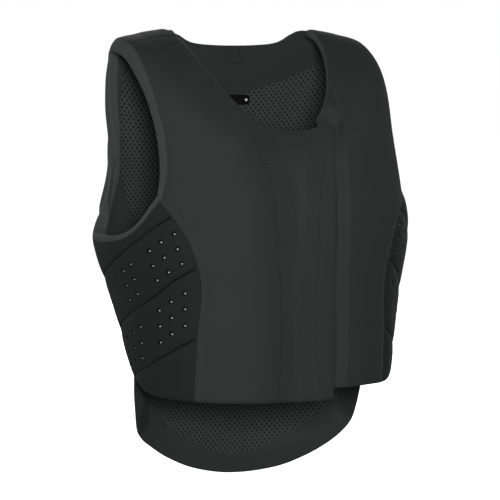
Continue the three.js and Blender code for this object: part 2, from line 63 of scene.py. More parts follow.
# Torso form, a row for each ring: heights at the front, side and back, half width, depths of the front, side
# and back, squareness of the corners, how sharply the height dips, and how far the sides lean to the left
RINGS = np.array([
    [-545, -545, -545, 138, -124, -34, 36, 2.2, 2, -8],
    [-425, -420, -425, 147, -132, -32, 40, 2.2, 2, 0],
    [-365, -362, -365, 156, -134, -24, 48, 2.2, 2, 0],
    [-305, -300, -300, 168, -136, -6, 64, 2.3, 2, 0],
    [-248, -240, -240, 182, -138, 8, 72, 2.35, 2, 0],
    [-205, -166, -166, 178, -138, 14, 63, 2.4, 2, -1],
    [-172, -90, -106, 173, -130, 26, 49, 2.4, 2, -3.5],
    [-150, -32, -60, 160, -122, 33, 43, 2.4, 2, -5],
    [-134, -16, -36, 126, -112, 35, 43, 2.3, 1.8, -3],
    [-121, -9, -20, 91, -104, 35, 45, 2.2, 1.5, 0],
], float)
NECK = len(RINGS) - 1
BACK_CENTRE = 180.0

# Walls, measured out from the form
FRONT_WALL = 12.0
STRAP_WALL = 10.0
SIDE_WALL = 13.0
BACK_WALL = 19.0
TONGUE_WALL = 4.4
FLAP_INNER = 8.8
FLAP_OUTER = 14.0
FLAP_STEP = 12.0
FLAP_CLEAR = 6.0

# Routes on the form, rows of angle and ring, given for the wearer's left where both sides have one
TIP = (90, 7.12)
SHOULDER = [TIP, (90, NECK)]
SEAM_TOP = (54.5, 4.85)
REAR_TOP = (114, 4.3)
REAR_FOOT = (104, 1.75)
TAIL_CORNER = (108, 0.66)
SEAM_RISE = [(46.5, 1.6), (43, 2.3), (39, 2.9), (37, 3.5), (39.5, 4.1), (45.5, 4.5), SEAM_TOP]
ARMHOLE_FRONT = [SEAM_TOP, (53.5, 5.37), (54.5, 5.85), (58, 6.3), (64, 6.65), (77, 7.0), TIP]
ARMHOLE_UNDER = [REAR_TOP, (104, 4.1), (92, 4.03), (82, 4.04), (70, 4.15), (61.5, 4.4), SEAM_TOP]
ARMHOLE_BACK = [REAR_TOP, (120, 4.6), (122, 5), (120, 5.5), (114, 6), (109, 6.5), (103, 6.9), TIP]
REAR_RISE = [REAR_FOOT, (108, 2.3), (111, 3), REAR_TOP]
TAIL_SIDE = [TAIL_CORNER, (106, 0.9), (104.5, 1.3), REAR_FOOT]
TAIL_LEFT = [TAIL_CORNER, (111, 0.5), (118, 0.375), (129, 0.25), (144, 0.125), (160, 0.035)]
TAIL_RIGHT = [TAIL_CORNER, (111, 0.545), (119, 0.45), (130, 0.355), (144, 0.225), (161, 0.09)]
TAIL_MIDDLE = (180, 0.01)
HEM_RIGHT = [REAR_FOOT, (97, 1.32), (88, 1.12), (78, 1.02), (64, 1), (49, 1)]
HEM_LEFT = [REAR_FOOT, (90, 1.4), (78, 1.22), (66, 1.12), (58, 1.07), (49, 1.065)]
FLAP_CORNER = (22, 7.9)
FLAP_EDGE = [(13.5, 1), (13, 2), (10.5, 3), (9.5, 3.8), (9.6, 5.2), (12.8, 6.9), FLAP_CORNER]
FLAP_TOP = [FLAP_CORNER, (20.6, 8.22), (15, 8.6), (6, NECK)]
TONGUE_EDGE = [(1.3, 1.13), (0.8, 2), (0.6, 3), (0.6, 3.8), (1.5, 5.2), (3.5, 6.9), (13, 8.05), (24, NECK)]

# Outlines on the back, seen along Y, rows of x and z for the wearer's left half
V_LINE = [(9, -79), (59, -63), (85, -54), (117, -40)]
LINING_SIDE = [(129, -42), (140, -46), (146, -57), (150, -78), (150, -109), (148, -140), (147, -166),
               (139, -203), (118, -246), (114, -320), (114, -400), (114, -452)]
LINING_FOOT = [(110, -464), (90, -482), (60, -500), (28, -514), (0, -519)]
YOKE_SIDE = [(124, -36), (121, -31), (108, -24), (100, 30), (0, 30)]

# Distances in from an edge at which a wall has grid lines, so that its lip is round
LIP_STOPS = (0.0, 0.12, 0.4, 0.85, 1.5, 2.4, 3.6)


def hermite(rows: Array, spot: Array, slope: Array) -> Array:
    """Cubic curve through rows: each step blends two rows and their slopes by the Hermite polynomials.

    Args:
        rows: The rows, at whole numbers from 0.
        spot: Where to read the curve, in row numbers.
        slope: The curve's slope at each row.
    Returns:
        A row for each spot.
    """
    spot = np.clip(np.asarray(spot, float), 0, len(rows) - 1)
    low = np.minimum(spot.astype(int), len(rows) - 2)
    f = (spot - low)[..., None]
    return ((2 * f**3 - 3 * f**2 + 1) * rows[low] + (f**3 - 2 * f**2 + f) * slope[low]
            + (3 * f**2 - 2 * f**3) * rows[low + 1] + (f**3 - f**2) * slope[low + 1])


def smoothstep(low: float, high: float, value: Array) -> Array:
    """Smooth rise from 0 at low to 1 at high: 3t^2 - 2t^3."""
    t = np.clip((value - low) / (high - low), 0, 1)
    return t * t * (3 - 2 * t)


def run_length(points: Array) -> Array:
    """Distance along rows of points, summed along the last axis but one."""
    steps = np.linalg.norm(np.diff(points, axis=-2), axis=-1)
    start = np.zeros(steps.shape[:-1] + (1,))
    return np.concatenate([start, np.cumsum(steps, axis=-1)], axis=-1)


def unit(vectors: Array) -> Array:
    """Vectors at length 1."""
    return vectors / np.maximum(np.linalg.norm(vectors, axis=-1, keepdims=True), TINY)


@dataclass(frozen=True)
class TorsoForm:
    """Tube lofted through rings, each a rounded oval whose front and back differ in depth and height."""

    angle_step: float = 0.4
    ring_step: float = 0.01
    roll_height: float = 7.0
    roll_angle: float = 124.0
    roll_width: float = 13.0
    roll_start: float = 8.0

    def point(self, angle: Array, ring: Array) -> Array:
        """Point of the form: x and y go round a superellipse, and z dips by a power of the cosine.

        The neckline rises in a low roll on each side of the back.

        Args:
            angle: Degrees from the front centre.
            ring: Ring number.
        Returns:
            Points, with x, y and z on the last axis.
        """
        angle, ring = np.broadcast_arrays(np.asarray(angle, float), np.asarray(ring, float))
        values = hermite(RINGS, ring, np.gradient(RINGS, axis=0))
        front_z, side_z, back_z, half, front_y = np.moveaxis(values[..., :5], -1, 0)
        side_y, back_y, square, dip, lean = np.moveaxis(values[..., 5:], -1, 0)
        ahead, aside = np.cos(np.radians(angle)), np.sin(np.radians(angle))
        depth = np.where(ahead > 0, side_y - front_y, back_y - side_y)
        rise = np.where(ahead > 0, front_z - side_z, back_z - side_z)
        x = half * np.sign(aside) * np.abs(aside) ** (2 / square) + lean * aside**2
        y = side_y - depth * np.sign(ahead) * np.abs(ahead) ** (2 / square)
        turn = np.degrees(np.arctan2(np.abs(aside), ahead)) - self.roll_angle
        roll = self.roll_height * np.exp(-((turn / self.roll_width) ** 2))
        roll = roll * smoothstep(self.roll_start, NECK, ring)
        return np.stack([x, y, side_z + rise * np.abs(ahead) ** dip + roll], -1)

    def normal(self, angle: Array, ring: Array) -> Array:
        """Outward direction: the cross product of small steps round and up the form."""
        angle, ring = np.asarray(angle, float), np.asarray(ring, float)
        above, below = np.minimum(ring + self.ring_step, NECK), np.maximum(ring - self.ring_step, 0)
        around = self.point(angle + self.angle_step, ring) - self.point(angle - self.angle_step, ring)
        return unit(np.cross(around, self.point(angle, above) - self.point(angle, below)))

    def offset(self, angle: Array, ring: Array, distance: Array) -> Array:
        """Point at a distance out from the form along its normal."""
        return self.point(angle, ring) + self.normal(angle, ring) * np.asarray(distance, float)[..., None]


FORM = TorsoForm()


class Route:
    """Curve on the form, a list of places measured along its length."""

    def __init__(self, places: Array) -> None:
        """Measures the curve through places, an array of angle and ring."""
        self.places = places
        self.points = FORM.point(places[:, 0], places[:, 1])
        self.run = run_length(self.points)
        self.length = float(self.run[-1])

    @classmethod
    def through(cls, rows: Rows, steps: int = 16) -> "Route":
        """Smooth route through rows, a cubic whose slope at a row halves the step between its neighbours."""
        table = np.asarray(rows, float)
        padded = np.concatenate([table[:1], table, table[-1:]])
        spot = np.linspace(0, len(table) - 1, (len(table) - 1) * steps + 1)
        return cls(hermite(table, spot, (padded[2:] - padded[:-2]) / 2))

    @classmethod
    def join(cls, *routes: "Route") -> "Route":
        """One route of several end to end."""
        return cls(np.concatenate([r.places if k == 0 else r.places[1:] for k, r in enumerate(routes)]))

    def at(self, distance: Array) -> Array:
        """Places at distances from the start."""
        return np.stack([np.interp(distance, self.run, self.places[:, k]) for k in (0, 1)], -1)

    def bow(self, share: Array) -> Array:
        """How far the route stands off the straight line between its ends, at shares of its length."""
        line = self.places[0] + (self.places[-1] - self.places[0]) * share[:, None]
        return self.at(share * self.length) - line

    def nearest(self, points: Array) -> tuple[Array, Array]:
        """Distance of points to the route, and how far along it the nearest place lies.

        Each point is dropped on every straight step of the route, and the nearest foot is kept.

        Args:
            points: Points, with x, y and z on the last axis.
        Returns:
            The distances and the lengths along the route, in the shape of the points.
        """
        chunk = 6000
        flat = points.reshape(-1, 3)
        start, step = self.points[:-1], np.diff(self.points, axis=0)
        square = np.maximum((step**2).sum(-1), TINY)
        far, along = np.empty(len(flat)), np.empty(len(flat))
        for low in range(0, len(flat), chunk):
            away = flat[low:low + chunk, None] - start
            share = np.clip((away * step).sum(-1) / square, 0, 1)
            gap = np.linalg.norm(away - share[..., None] * step, axis=-1)
            best = gap.argmin(1)
            pick = np.arange(len(best))
            far[low:low + chunk] = gap[pick, best]
            along[low:low + chunk] = self.run[best] + share[pick, best] * np.sqrt(square[best])
        return far.reshape(points.shape[:-1]), along.reshape(points.shape[:-1])

    def gap(self, points: Array) -> Array:
        """Distance of points to the route."""
        return self.nearest(points)[0]


def on_side(rows: Rows, side: int) -> Rows:
    """A route of the wearer's left, or its mirror image where side is -1, the wearer's right."""
    return [(side * angle, ring) for angle, ring in rows]


def on_back(rows: Rows) -> Rows:
    """The same route on the other side of the back centre, with angles that run on past 180."""
    return [(360 - angle, ring) for angle, ring in rows]


def both_halves(rows: Rows) -> list[Route]:
    """A route of the back on the wearer's left and on the right."""
    return [Route.through(rows), Route.through(on_back(rows))]


def stations(keys: Sequence[float], cells: Sequence[int]) -> Array:
    """Distances along an edge: lip stops in from both ends, and even cells between keys.

    Args:
        keys: Distances that have a station, from 0 to the whole length.
        cells: Number of cells between each two keys.
    Returns:
        The distances in rising order.
    """
    marks = [LIP_STOPS[-1], *keys[1:-1], keys[-1] - LIP_STOPS[-1]]
    runs = [np.linspace(a, b, n + 1)[1:] for a, b, n in zip(marks[:-1], marks[1:], cells)]
    return np.concatenate([LIP_STOPS, *runs, keys[-1] - np.array(LIP_STOPS[-2::-1])])


@dataclass
class Patch:
    """Grid of places on the form, rows upwards and columns towards a larger angle."""

    angle: Array
    ring: Array

    @classmethod
    def between(cls, left: tuple[Route, Array], right: tuple[Route, Array], bottom: Route, top: Route,
                columns: Callable[[Array], Array]) -> "Patch":
        """Four-sided grid: rows join two edges, bowed by the routes below and above, with measured columns.

        Args:
            left: Left edge and the distances along it where rows start.
            right: Right edge and the distances along it where rows end.
            bottom: Route of the bottom edge.
            top: Route of the top edge.
            columns: Gives the distances of the columns along rows from the rows' lengths.
        Returns:
            The grid.
        """
        samples = 161
        share = np.linspace(0, 1, samples)
        height = (left[1] / left[0].length + right[1] / right[0].length)[:, None, None] / 2
        start, end = left[0].at(left[1])[:, None], right[0].at(right[1])[:, None]
        places = start + (end - start) * share[:, None]
        places = places + (1 - height) * bottom.bow(share) + height * top.bow(share)
        run = run_length(FORM.point(places[..., 0], places[..., 1]))
        stops = columns(run[:, -1:])
        read = [[np.interp(at, r, p[:, k]) for at, r, p in zip(stops, run, places)] for k in (0, 1)]
        return cls(np.array(read[0]), np.array(read[1]))

    def points(self) -> Array:
        """Points of the grid on the form."""
        return FORM.point(self.angle, self.ring)

    def attract(self, route: Route, reach: float) -> None:
        """Draws grid points that lie within a reach of a route onto it, so that a crease there is sharp."""
        far, along = route.nearest(self.points())
        full_share = 0.6
        pull = 1 - smoothstep(full_share * reach, reach, far)
        place = route.at(along)
        self.angle += pull * (place[..., 0] - self.angle)
        self.ring += pull * (place[..., 1] - self.ring)


def even_columns(cells: int) -> Callable[[Array], Array]:
    """Columns with lip stops in from both ends and even cells between, for rows of any length."""
    def columns(length: Array) -> Array:
        """Distances of the columns along rows of these lengths."""
        share = np.linspace(0, 1, cells + 1)[1:]
        middle = LIP_STOPS[-1] + (length - 2 * LIP_STOPS[-1]) * share
        rows = (len(length), 1)
        end = length - np.tile(LIP_STOPS[-2::-1], rows)
        return np.concatenate([np.tile(LIP_STOPS, rows), middle, end], 1)
    return columns


class Profile(Enum):
    """How a padded wall thins towards an edge."""

    FLAT = "flat bevel"
    ROUND = "rolled edge"


@dataclass(frozen=True)
class EdgeShape:
    """Thinning of a wall: over a width in from an edge, by a drop of its outer face."""

    profile: Profile
    width: float
    drop: float
    softness: float = 0.09
    far: float = 3.0

    def thinning(self, distance: Array) -> Array:
        """Drop at a distance in from the edge: a straight slope with a soft top, or a quarter ellipse."""
        share = 1 - np.minimum(distance / self.width, self.far)
        if self.profile is Profile.FLAT:
            return self.drop * (share + np.hypot(share, self.softness)) / 2
        return self.drop * (1 - np.sqrt(1 - np.clip(share, 0, 1) ** 2))


ARMHOLE_EDGE = EdgeShape(Profile.FLAT, 12, 7, 0.05)
NECK_EDGE = EdgeShape(Profile.ROUND, 9, 4)
HEM_EDGE = EdgeShape(Profile.ROUND, 7, 3)
SEAM_EDGE = EdgeShape(Profile.ROUND, 4, 0.3)
TAIL_EDGE = EdgeShape(Profile.FLAT, 22, 7)
TAIL_INSIDE = EdgeShape(Profile.FLAT, 22, 6.5)
UNDERARM_EDGE = EdgeShape(Profile.ROUND, 13, 2.8)
SHOULDER_EDGE = EdgeShape(Profile.ROUND, 26, 3)
SEAM_LIP = 0.4

# Rings between which the armhole's edge changes
UNDERARM_RINGS = (4.3, 5.4)
TIP_RINGS = (6.2, 7.4)

# Waves of the foam under the cloth: millimetres to a radian along x, y and z, and a phase
FOAM_WAVES = np.array([(17, np.inf, 29, 0.7), (-31, np.inf, 23, 2.1), (np.inf, 13, 19, 4.0)])


def armhole_loop(side: int) -> Route:
    """The whole armhole of one side: under the arm, up the front and down the back."""
    parts = (ARMHOLE_UNDER, ARMHOLE_FRONT, ARMHOLE_BACK[::-1])
    return Route.join(*(Route.through(on_side(part, side)) for part in parts))


def underarm(ring: Array) -> Array:
    """How far places lie under the arm, from 0 beside it to 1 below it."""
    return 1 - smoothstep(*UNDERARM_RINGS, ring)


def armhole_drop(share: Array, ring: Array) -> Array:
    """Drop of the outer face at a share of the bevel's width.

    A flat bevel turns to a round edge under the arm, and the strap falls off towards the shoulder's tip.
    """
    edges = (ARMHOLE_EDGE, UNDERARM_EDGE, SHOULDER_EDGE)
    bevel, soft, strap = (edge.thinning(share * ARMHOLE_EDGE.width) for edge in edges)
    return bevel + (soft - bevel) * underarm(ring) + strap * smoothstep(*TIP_RINGS, ring)


@dataclass(frozen=True)
class UnderarmRoll:
    """Swelling of the inner face towards the arm, near the rear of the underarm."""

    height: float = 7.0
    reach: float = 16.0
    angle: float = 102.0
    angle_width: float = 16.0
    ring: float = 4.4
    ring_width: float = 0.55

    def swelling(self, angle: Array, ring: Array, gap: Array) -> Array:
        """How far the face swells: a product of bell curves.

        Args:
            angle: Degrees from the front centre.
            ring: Ring number.
            gap: Distance from the armhole.
        Returns:
            Swelling at each place.
        """
        turn = BACK_CENTRE - np.abs(np.abs(angle) - BACK_CENTRE)
        near = dent(turn - self.angle, 1, self.angle_width) * dent(ring - self.ring, 1, self.ring_width)
        return dent(gap, self.height, self.reach) * near


UNDERARM_ROLL = UnderarmRoll()


def lip(distance: Array, radius: float) -> Array:
    """Rounding of an edge: how far a face falls back within a radius of it, by a quarter circle."""
    share = 1 - np.clip(distance / radius, 0, 1)
    return radius * (1 - np.sqrt(1 - share**2))


def dent(distance: Array, depth: float, width: float) -> Array:
    """Soft channel along a line: depth times a bell curve of the distance."""
    return depth * np.exp(-((distance / width) ** 2))


def waves(points: Array, size: float) -> Array:
    """Slow unevenness of foam under cloth: the mean of crossing sine waves of the place."""
    return size * np.mean([np.sin((points / wave[:3]).sum(-1) + wave[3]) for wave in FOAM_WAVES], axis=0)


def add_mesh(name: str, vertices: Array, faces: Array, fields: dict[str, Array] | None = None,
             crease: float = CREASE) -> Piece:
    """Makes a smooth-shaded mesh object at the origin from arrays.

    Args:
        name: Name of the piece.
        vertices: Points in millimetres.
        faces: Corner numbers, four to a face.
        fields: Values at the points, one number or three each, by attribute name.
        crease: Edges sharper than this angle in degrees stay sharp.
    Returns:
        The object, linked to the scene.
    """
    used, faces = np.unique(faces, return_inverse=True)
    faces = faces.reshape(-1, 4)
    mesh = bpy.data.meshes.new(name)
    mesh.vertices.add(len(used))
    mesh.vertices.foreach_set("co", (vertices[used] * MM).astype(np.float32).ravel())
    mesh.loops.add(faces.size)
    mesh.loops.foreach_set("vertex_index", faces.astype(np.int32).ravel())
    mesh.polygons.add(len(faces))
    mesh.polygons.foreach_set("loop_start", np.arange(0, faces.size, 4, dtype=np.int32))
    for field_name, values in (fields or {}).items():
        vector = values.ndim == 2
        attribute = mesh.attributes.new(field_name, "FLOAT_VECTOR" if vector else "FLOAT", "POINT")
        attribute.data.foreach_set("vector" if vector else "value", values[used].astype(np.float32).ravel())
    mesh.update(calc_edges=True)
    mesh.shade_smooth()
    mesh.set_sharp_from_angle(angle=math.radians(crease))
    piece = bpy.data.objects.new(name, mesh)
    bpy.context.scene.collection.objects.link(piece)
    return piece


def grid_faces(rows: int, columns: int) -> Array:
    """Corner numbers of the quads of a grid of points, rows first, one axis for rows and one for columns."""
    index = np.arange(rows * columns).reshape(rows, columns)
    return np.stack([index[:-1, :-1], index[:-1, 1:], index[1:, 1:], index[1:, :-1]], -1)


def revolved_faces(bands: int, sides: int) -> Array:
    """Corner numbers of the quads of a round shape: its bands, and fans that close both ends.

    Args:
        bands: Number of circles of points.
        sides: Points in each circle, an even number.
    Returns:
        Corner numbers, four to a face.
    """
    ring = np.arange(sides)
    band = np.arange(bands - 1)[:, None] * sides
    around = np.stack([band + ring, band + (ring + 1) % sides, band + sides + (ring + 1) % sides,
                       band + sides + ring], -1).reshape(-1, 4)
    k = np.arange(1, sides - 2, 2)
    fan = np.stack([0 * k, k, k + 1, k + 2], -1)
    return np.concatenate([around, fan[:, ::-1], fan + (bands - 1) * sides])


def wall_mesh(name: str, front: Array, back: Array, keep: Array | None = None,
              fields: dict[str, Array] | None = None, crease: float = CREASE) -> Piece:
    """Closed wall between two grids of points, with a band round the edge of the quads that are kept.

    Args:
        name: Name of the piece.
        front: Points of the face whose normal is columns crossed with rows.
        back: Points of the other face.
        keep: Which quads to keep, all of them by default.
        fields: Values at the front's points by attribute name, which the back shares.
        crease: Edges sharper than this angle stay sharp.
    Returns:
        The object.
    """
    rows, columns = front.shape[:2]
    quads = grid_faces(rows, columns)
    quads = quads.reshape(-1, 4) if keep is None else quads[keep]
    count = rows * columns
    start, end = quads.ravel(), np.roll(quads, -1, axis=1).ravel()
    rim = ~np.isin(start * count + end, end * count + start)
    start, end = start[rim], end[rim]
    band = np.stack([end, start, start + count, end + count], -1)
    faces = np.concatenate([quads, quads[:, ::-1] + count, band])
    points = np.concatenate([front.reshape(-1, 3), back.reshape(-1, 3)])
    both = {k: np.concatenate([v.reshape(count, *v.shape[2:])] * 2) for k, v in (fields or {}).items()}
    return add_mesh(name, points, faces, both, crease)


def cloth_field(points: Array) -> Array:
    """Place on the cloth in metres: distance along each row and along each column of a grid."""
    across = run_length(points)
    up = run_length(points.swapaxes(0, 1)).T
    return np.stack([across, up, np.zeros_like(up)], -1) * MM


class NodeTree:
    """Small helper that adds and links shader nodes."""

    def __init__(self, tree: bpy.types.NodeTree) -> None:
        """Takes the tree to work in."""
        self.tree = tree

    def add(self, kind: str, **settings: object) -> Node:
        """Adds a node and sets its properties."""
        node = self.tree.nodes.new(kind)
        for key, value in settings.items():
            setattr(node, key, value)
        return node

    def link(self, source: Socket, target: Socket) -> None:
        """Links two sockets."""
        self.tree.links.new(source, target)

    def math(self, operation: str, *operands: object) -> Socket:
        """Adds a math node on sockets or numbers and gives its output."""
        node = self.add("ShaderNodeMath", operation=operation)
        for socket, value in zip(node.inputs, operands):
            if isinstance(value, Socket):
                self.link(value, socket)
            else:
                socket.default_value = value
        return node.outputs[0]

    def attribute(self, name: str, output: str = "Fac") -> Socket:
        """Adds an attribute of the mesh and gives one of its outputs."""
        return self.add("ShaderNodeAttribute", attribute_name=name).outputs[output]

    def fade(self, value: Socket, low: float, high: float, kind: str = "LINEAR") -> Socket:
        """Adds a fall from 1, where a value is low, to 0, where it is high."""
        node = self.add("ShaderNodeMapRange", interpolation_type=kind)
        for socket, number in (("From Min", low), ("From Max", high), ("To Min", 1.0), ("To Max", 0.0)):
            node.inputs[socket].default_value = number
        self.link(value, node.inputs["Value"])
        return node.outputs["Result"]

    def tint(self, base: Socket, tone: Tone, mask: Socket) -> Socket:
        """Adds a colour that turns to a tone where a mask is 1."""
        mix = self.add("ShaderNodeMix", data_type="RGBA")
        mix.inputs["B"].default_value = (*tone, 1)
        self.link(mask, mix.inputs["Factor"])
        self.link(base, mix.inputs["A"])
        return mix.outputs["Result"]


class SharedGroups:
    """Node groups that several finishes use, each built once."""

    # Knit: courses to a wale, and how far its loops lean and rise
    course_rate = 1.35
    loop_lean = 2.2
    loop_rise = 0.5
    # Pores: where their edge starts and ends, in radii
    pore_rim = (0.75, 1.15)
    # Mottle: scale and weight of each noise
    noise = ((14.0, 0.5), (95.0, 0.3), (900.0, 0.2))
    noise_detail = 3.0

    def __init__(self) -> None:
        """Builds the groups."""
        self.knit = self._knit()
        self.mottle = self._mottle()
        self.pores = self._pores()

    @staticmethod
    def _group(name: str, inputs: dict[str, str], outputs: dict[str, str]) -> tuple[NodeTree, Node, Node]:
        """Starts a group with named sockets.

        Args:
            name: Name of the group.
            inputs: Socket type of each input.
            outputs: Socket type of each output.
        Returns:
            The tree helper, the input node and the output node.
        """
        group = bpy.data.node_groups.new(name, "ShaderNodeTree")
        for socket, kind in inputs.items():
            group.interface.new_socket(socket, in_out="INPUT", socket_type=kind)
        for socket, kind in outputs.items():
            group.interface.new_socket(socket, in_out="OUTPUT", socket_type=kind)
        tree = NodeTree(group)
        return tree, tree.add("NodeGroupInput"), tree.add("NodeGroupOutput")

    def _knit(self) -> bpy.types.NodeTree:
        """Knit loops: courses and wales of sine waves, with every other wale half a loop higher."""
        tree, source, sink = self._group(
            "knit", {"Place": "NodeSocketVector", "Pitch": "NodeSocketFloat"}, {"Height": "NodeSocketFloat"})
        parts = tree.add("ShaderNodeSeparateXYZ")
        tree.link(source.outputs["Place"], parts.inputs[0])
        turn = tree.math("DIVIDE", math.tau, source.outputs["Pitch"])
        wale = tree.math("MULTIPLY", parts.outputs["X"], turn)
        course = tree.math("MULTIPLY", tree.math("MULTIPLY", parts.outputs["Y"], turn), self.course_rate)
        ridge = tree.math("ABSOLUTE", tree.math("SINE", tree.math("MULTIPLY", wale, 0.5)))
        lean = tree.math("MULTIPLY", ridge, self.loop_lean)
        loop = tree.math("MULTIPLY", tree.math("SINE", tree.math("ADD", course, lean)), self.loop_rise)
        tree.link(tree.math("ADD", ridge, loop), sink.inputs["Height"])
        return tree.tree

    def _pores(self) -> bpy.types.NodeTree:
        """Staggered round pores: 1 inside a circle about each place of a lattice, alternate rows shifted."""
        tree, source, sink = self._group(
            "pores", {"Place": "NodeSocketVector", "Across": "NodeSocketFloat", "Up": "NodeSocketFloat",
                      "Radius": "NodeSocketFloat"}, {"Mask": "NodeSocketFloat"})
        parts = tree.add("ShaderNodeSeparateXYZ")
        tree.link(source.outputs["Place"], parts.inputs[0])
        row = tree.math("DIVIDE", parts.outputs["Y"], source.outputs["Up"])
        odd = tree.math("FLOORED_MODULO", tree.math("ROUND", row), 2.0)
        column = tree.math("DIVIDE", parts.outputs["X"], source.outputs["Across"])
        column = tree.math("ADD", column, tree.math("MULTIPLY", odd, 0.5))
        offsets = []
        for spot, step in ((column, "Across"), (row, "Up")):
            from_centre = tree.math("SUBTRACT", spot, tree.math("ROUND", spot))
            offsets.append(tree.math("MULTIPLY", from_centre, source.outputs[step]))
        squares = [tree.math("MULTIPLY", offset, offset) for offset in offsets]
        gap = tree.math("SQRT", tree.math("ADD", *squares))
        share = tree.math("DIVIDE", gap, source.outputs["Radius"])
        mask = tree.fade(share, *self.pore_rim, "SMOOTHSTEP")
        tree.link(mask, sink.inputs["Mask"])
        return tree.tree

    def _mottle(self) -> bpy.types.NodeTree:
        """Uneven tone: broad and fine noise of the place, from 0 to 1."""
        tree, source, sink = self._group(
            "mottle", {"Place": "NodeSocketVector"}, {"Tone": "NodeSocketFloat"})
        tones = []
        for scale, weight in self.noise:
            noise = tree.add("ShaderNodeTexNoise")
            noise.inputs["Scale"].default_value = scale
            noise.inputs["Detail"].default_value = self.noise_detail
            tree.link(source.outputs["Place"], noise.inputs["Vector"])
            tones.append(tree.math("MULTIPLY", noise.outputs["Fac"], weight))
        tree.link(tree.math("ADD", tree.math("ADD", tones[0], tones[1]), tones[2]), sink.inputs["Tone"])
        return tree.tree


@dataclass(frozen=True)
class Finish:
    """What every finish has: two near tones that mottle the surface, and how rough and shiny it is."""

    name: str
    slot: str
    dark: Tone
    light: Tone
    roughness: float = 0.82
    specular: float = 0.2
    spread: float = 0.16

    def start(self, groups: SharedGroups) -> tuple[Material, NodeTree, Node, Socket]:
        """Starts the material, with its roughness set.

        Args:
            groups: The shared groups.
        Returns:
            The material, its tree, its shader and the output of its mottled tone.
        """
        made = bpy.data.materials.new(self.name)
        made.use_nodes = True
        tree = NodeTree(made.node_tree)
        shader = made.node_tree.nodes["Principled BSDF"]
        shader.inputs["Specular IOR Level"].default_value = self.specular
        coords = tree.add("ShaderNodeTexCoord")
        mottle = tree.add("ShaderNodeGroup", node_tree=groups.mottle)
        tree.link(coords.outputs["Object"], mottle.inputs["Place"])
        tone = tree.add("ShaderNodeMix", data_type="RGBA")
        tone.inputs["A"].default_value = (*self.dark, 1)
        tone.inputs["B"].default_value = (*self.light, 1)
        tree.link(mottle.outputs["Tone"], tone.inputs["Factor"])
        smoothest = self.roughness - self.spread / 2
        rough = tree.math("MULTIPLY_ADD", mottle.outputs["Tone"], self.spread, smoothest)
        tree.link(rough, shader.inputs["Roughness"])
        return made, tree, shader, tone.outputs["Result"]


@dataclass(frozen=True)
class ClothFinish(Finish):
    """Knit or woven cloth: a knit relief, a near-black tone painted as shade in pits, pores, grooves and sewn
    lines, pale ones on bands and floors.
    """

    # Near-black tone of the painted shade
    painted_shade: Tone = (0.002, 0.002, 0.002)
    band: Tone | None = None
    floor: Tone | None = None
    pores: tuple[float, float, float] | None = None
    pitch: float = 0.0011
    relief: float = 0.25
    relief_height: float = 0.12
    sheen: float = 0.03
    sheen_roughness: float = 0.45
    band_end: tuple[float, float] = (0.88, 1.0)

    def material(self, groups: SharedGroups) -> Material:
        """Builds the material from the shared groups."""
        made, tree, shader, base = self.start(groups)
        shader.inputs["Sheen Weight"].default_value = self.sheen
        shader.inputs["Sheen Roughness"].default_value = self.sheen_roughness
        if self.band is not None:
            base = tree.tint(base, self.band, tree.fade(tree.attribute("edge"), *self.band_end))
        # Painted shade from the mesh's mask: vent walls, grooves and stitched lines
        base = tree.tint(base, self.painted_shade, tree.attribute("painted_shade"))
        # Pores painted with the same near-black tone, as shade in the holes
        if self.pores is not None:
            base = tree.tint(base, self.painted_shade, self.pore_mask(tree, groups))
        if self.floor is not None:
            base = tree.tint(base, self.floor, tree.attribute("floor"))
        tree.link(base, shader.inputs["Base Color"])
        knit = tree.add("ShaderNodeGroup", node_tree=groups.knit)
        knit.inputs["Pitch"].default_value = self.pitch
        tree.link(tree.attribute("cloth", "Vector"), knit.inputs["Place"])
        bump = tree.add("ShaderNodeBump")
        bump.inputs["Strength"].default_value = self.relief
        bump.inputs["Distance"].default_value = self.relief_height * MM
        tree.link(knit.outputs["Height"], bump.inputs["Height"])
        tree.link(bump.outputs["Normal"], shader.inputs["Normal"])
        return made

    def pore_mask(self, tree: NodeTree, groups: SharedGroups) -> Socket:
        """Mask of the pores, laid out by the chart attribute."""
        pores = tree.add("ShaderNodeGroup", node_tree=groups.pores)
        for socket, value in zip(("Across", "Up", "Radius"), self.pores):
            pores.inputs[socket].default_value = value
        tree.link(tree.attribute("chart", "Vector"), pores.inputs["Place"])
        return pores.outputs["Mask"]


@dataclass(frozen=True)
class SmoothFinish(Finish):
    """Moulded rubber or plastic with faint mottling."""

    spread: float = 0.2

    def material(self, groups: SharedGroups) -> Material:
        """Builds the material from the shared groups."""
        made, tree, shader, base = self.start(groups)
        tree.link(base, shader.inputs["Base Color"])
        return made


BAND_TONE = (0.05, 0.053, 0.052)
PORE_STEP = (6.6, 3.76)
PORE_RADIUS = 1.3
FRONT_KNIT = ClothFinish("front_knit", "front_cloth", (0.021, 0.023, 0.0222), (0.0305, 0.033, 0.032),
                         band=BAND_TONE)
SIDE_KNIT = ClothFinish("side_knit", "side_cloth", (0.01, 0.0117, 0.0116), (0.015, 0.0172, 0.017),
                        band=BAND_TONE, floor=(0.5, 0.51, 0.5))
BACK_KNIT = ClothFinish("back_knit", "back_cloth", (0.022, 0.024, 0.0232), (0.032, 0.0345, 0.0335),
                        band=BAND_TONE)
LINING_KNIT = ClothFinish("lining_spacer", "lining_mesh", (0.029, 0.0308, 0.0314), (0.047, 0.0493, 0.05),
                          pores=(PORE_STEP[0] * MM, PORE_STEP[1] * MM, PORE_RADIUS * MM),
                          pitch=0.0008, relief=0.4)
YOKE_KNIT = ClothFinish("yoke_facing", "yoke_cloth", (0.017, 0.0186, 0.0184), (0.0255, 0.0275, 0.027),
                        pitch=0.0007)
THREAD = ClothFinish("thread", "front_cloth", (0.045, 0.047, 0.0465), (0.07, 0.073, 0.072),
                     pitch=0.0006, roughness=0.7)
RIBBON = ClothFinish("ribbon", "loop_ribbon", (0.016, 0.017, 0.017), (0.03, 0.031, 0.031),
                     pitch=0.0009, relief=0.6)
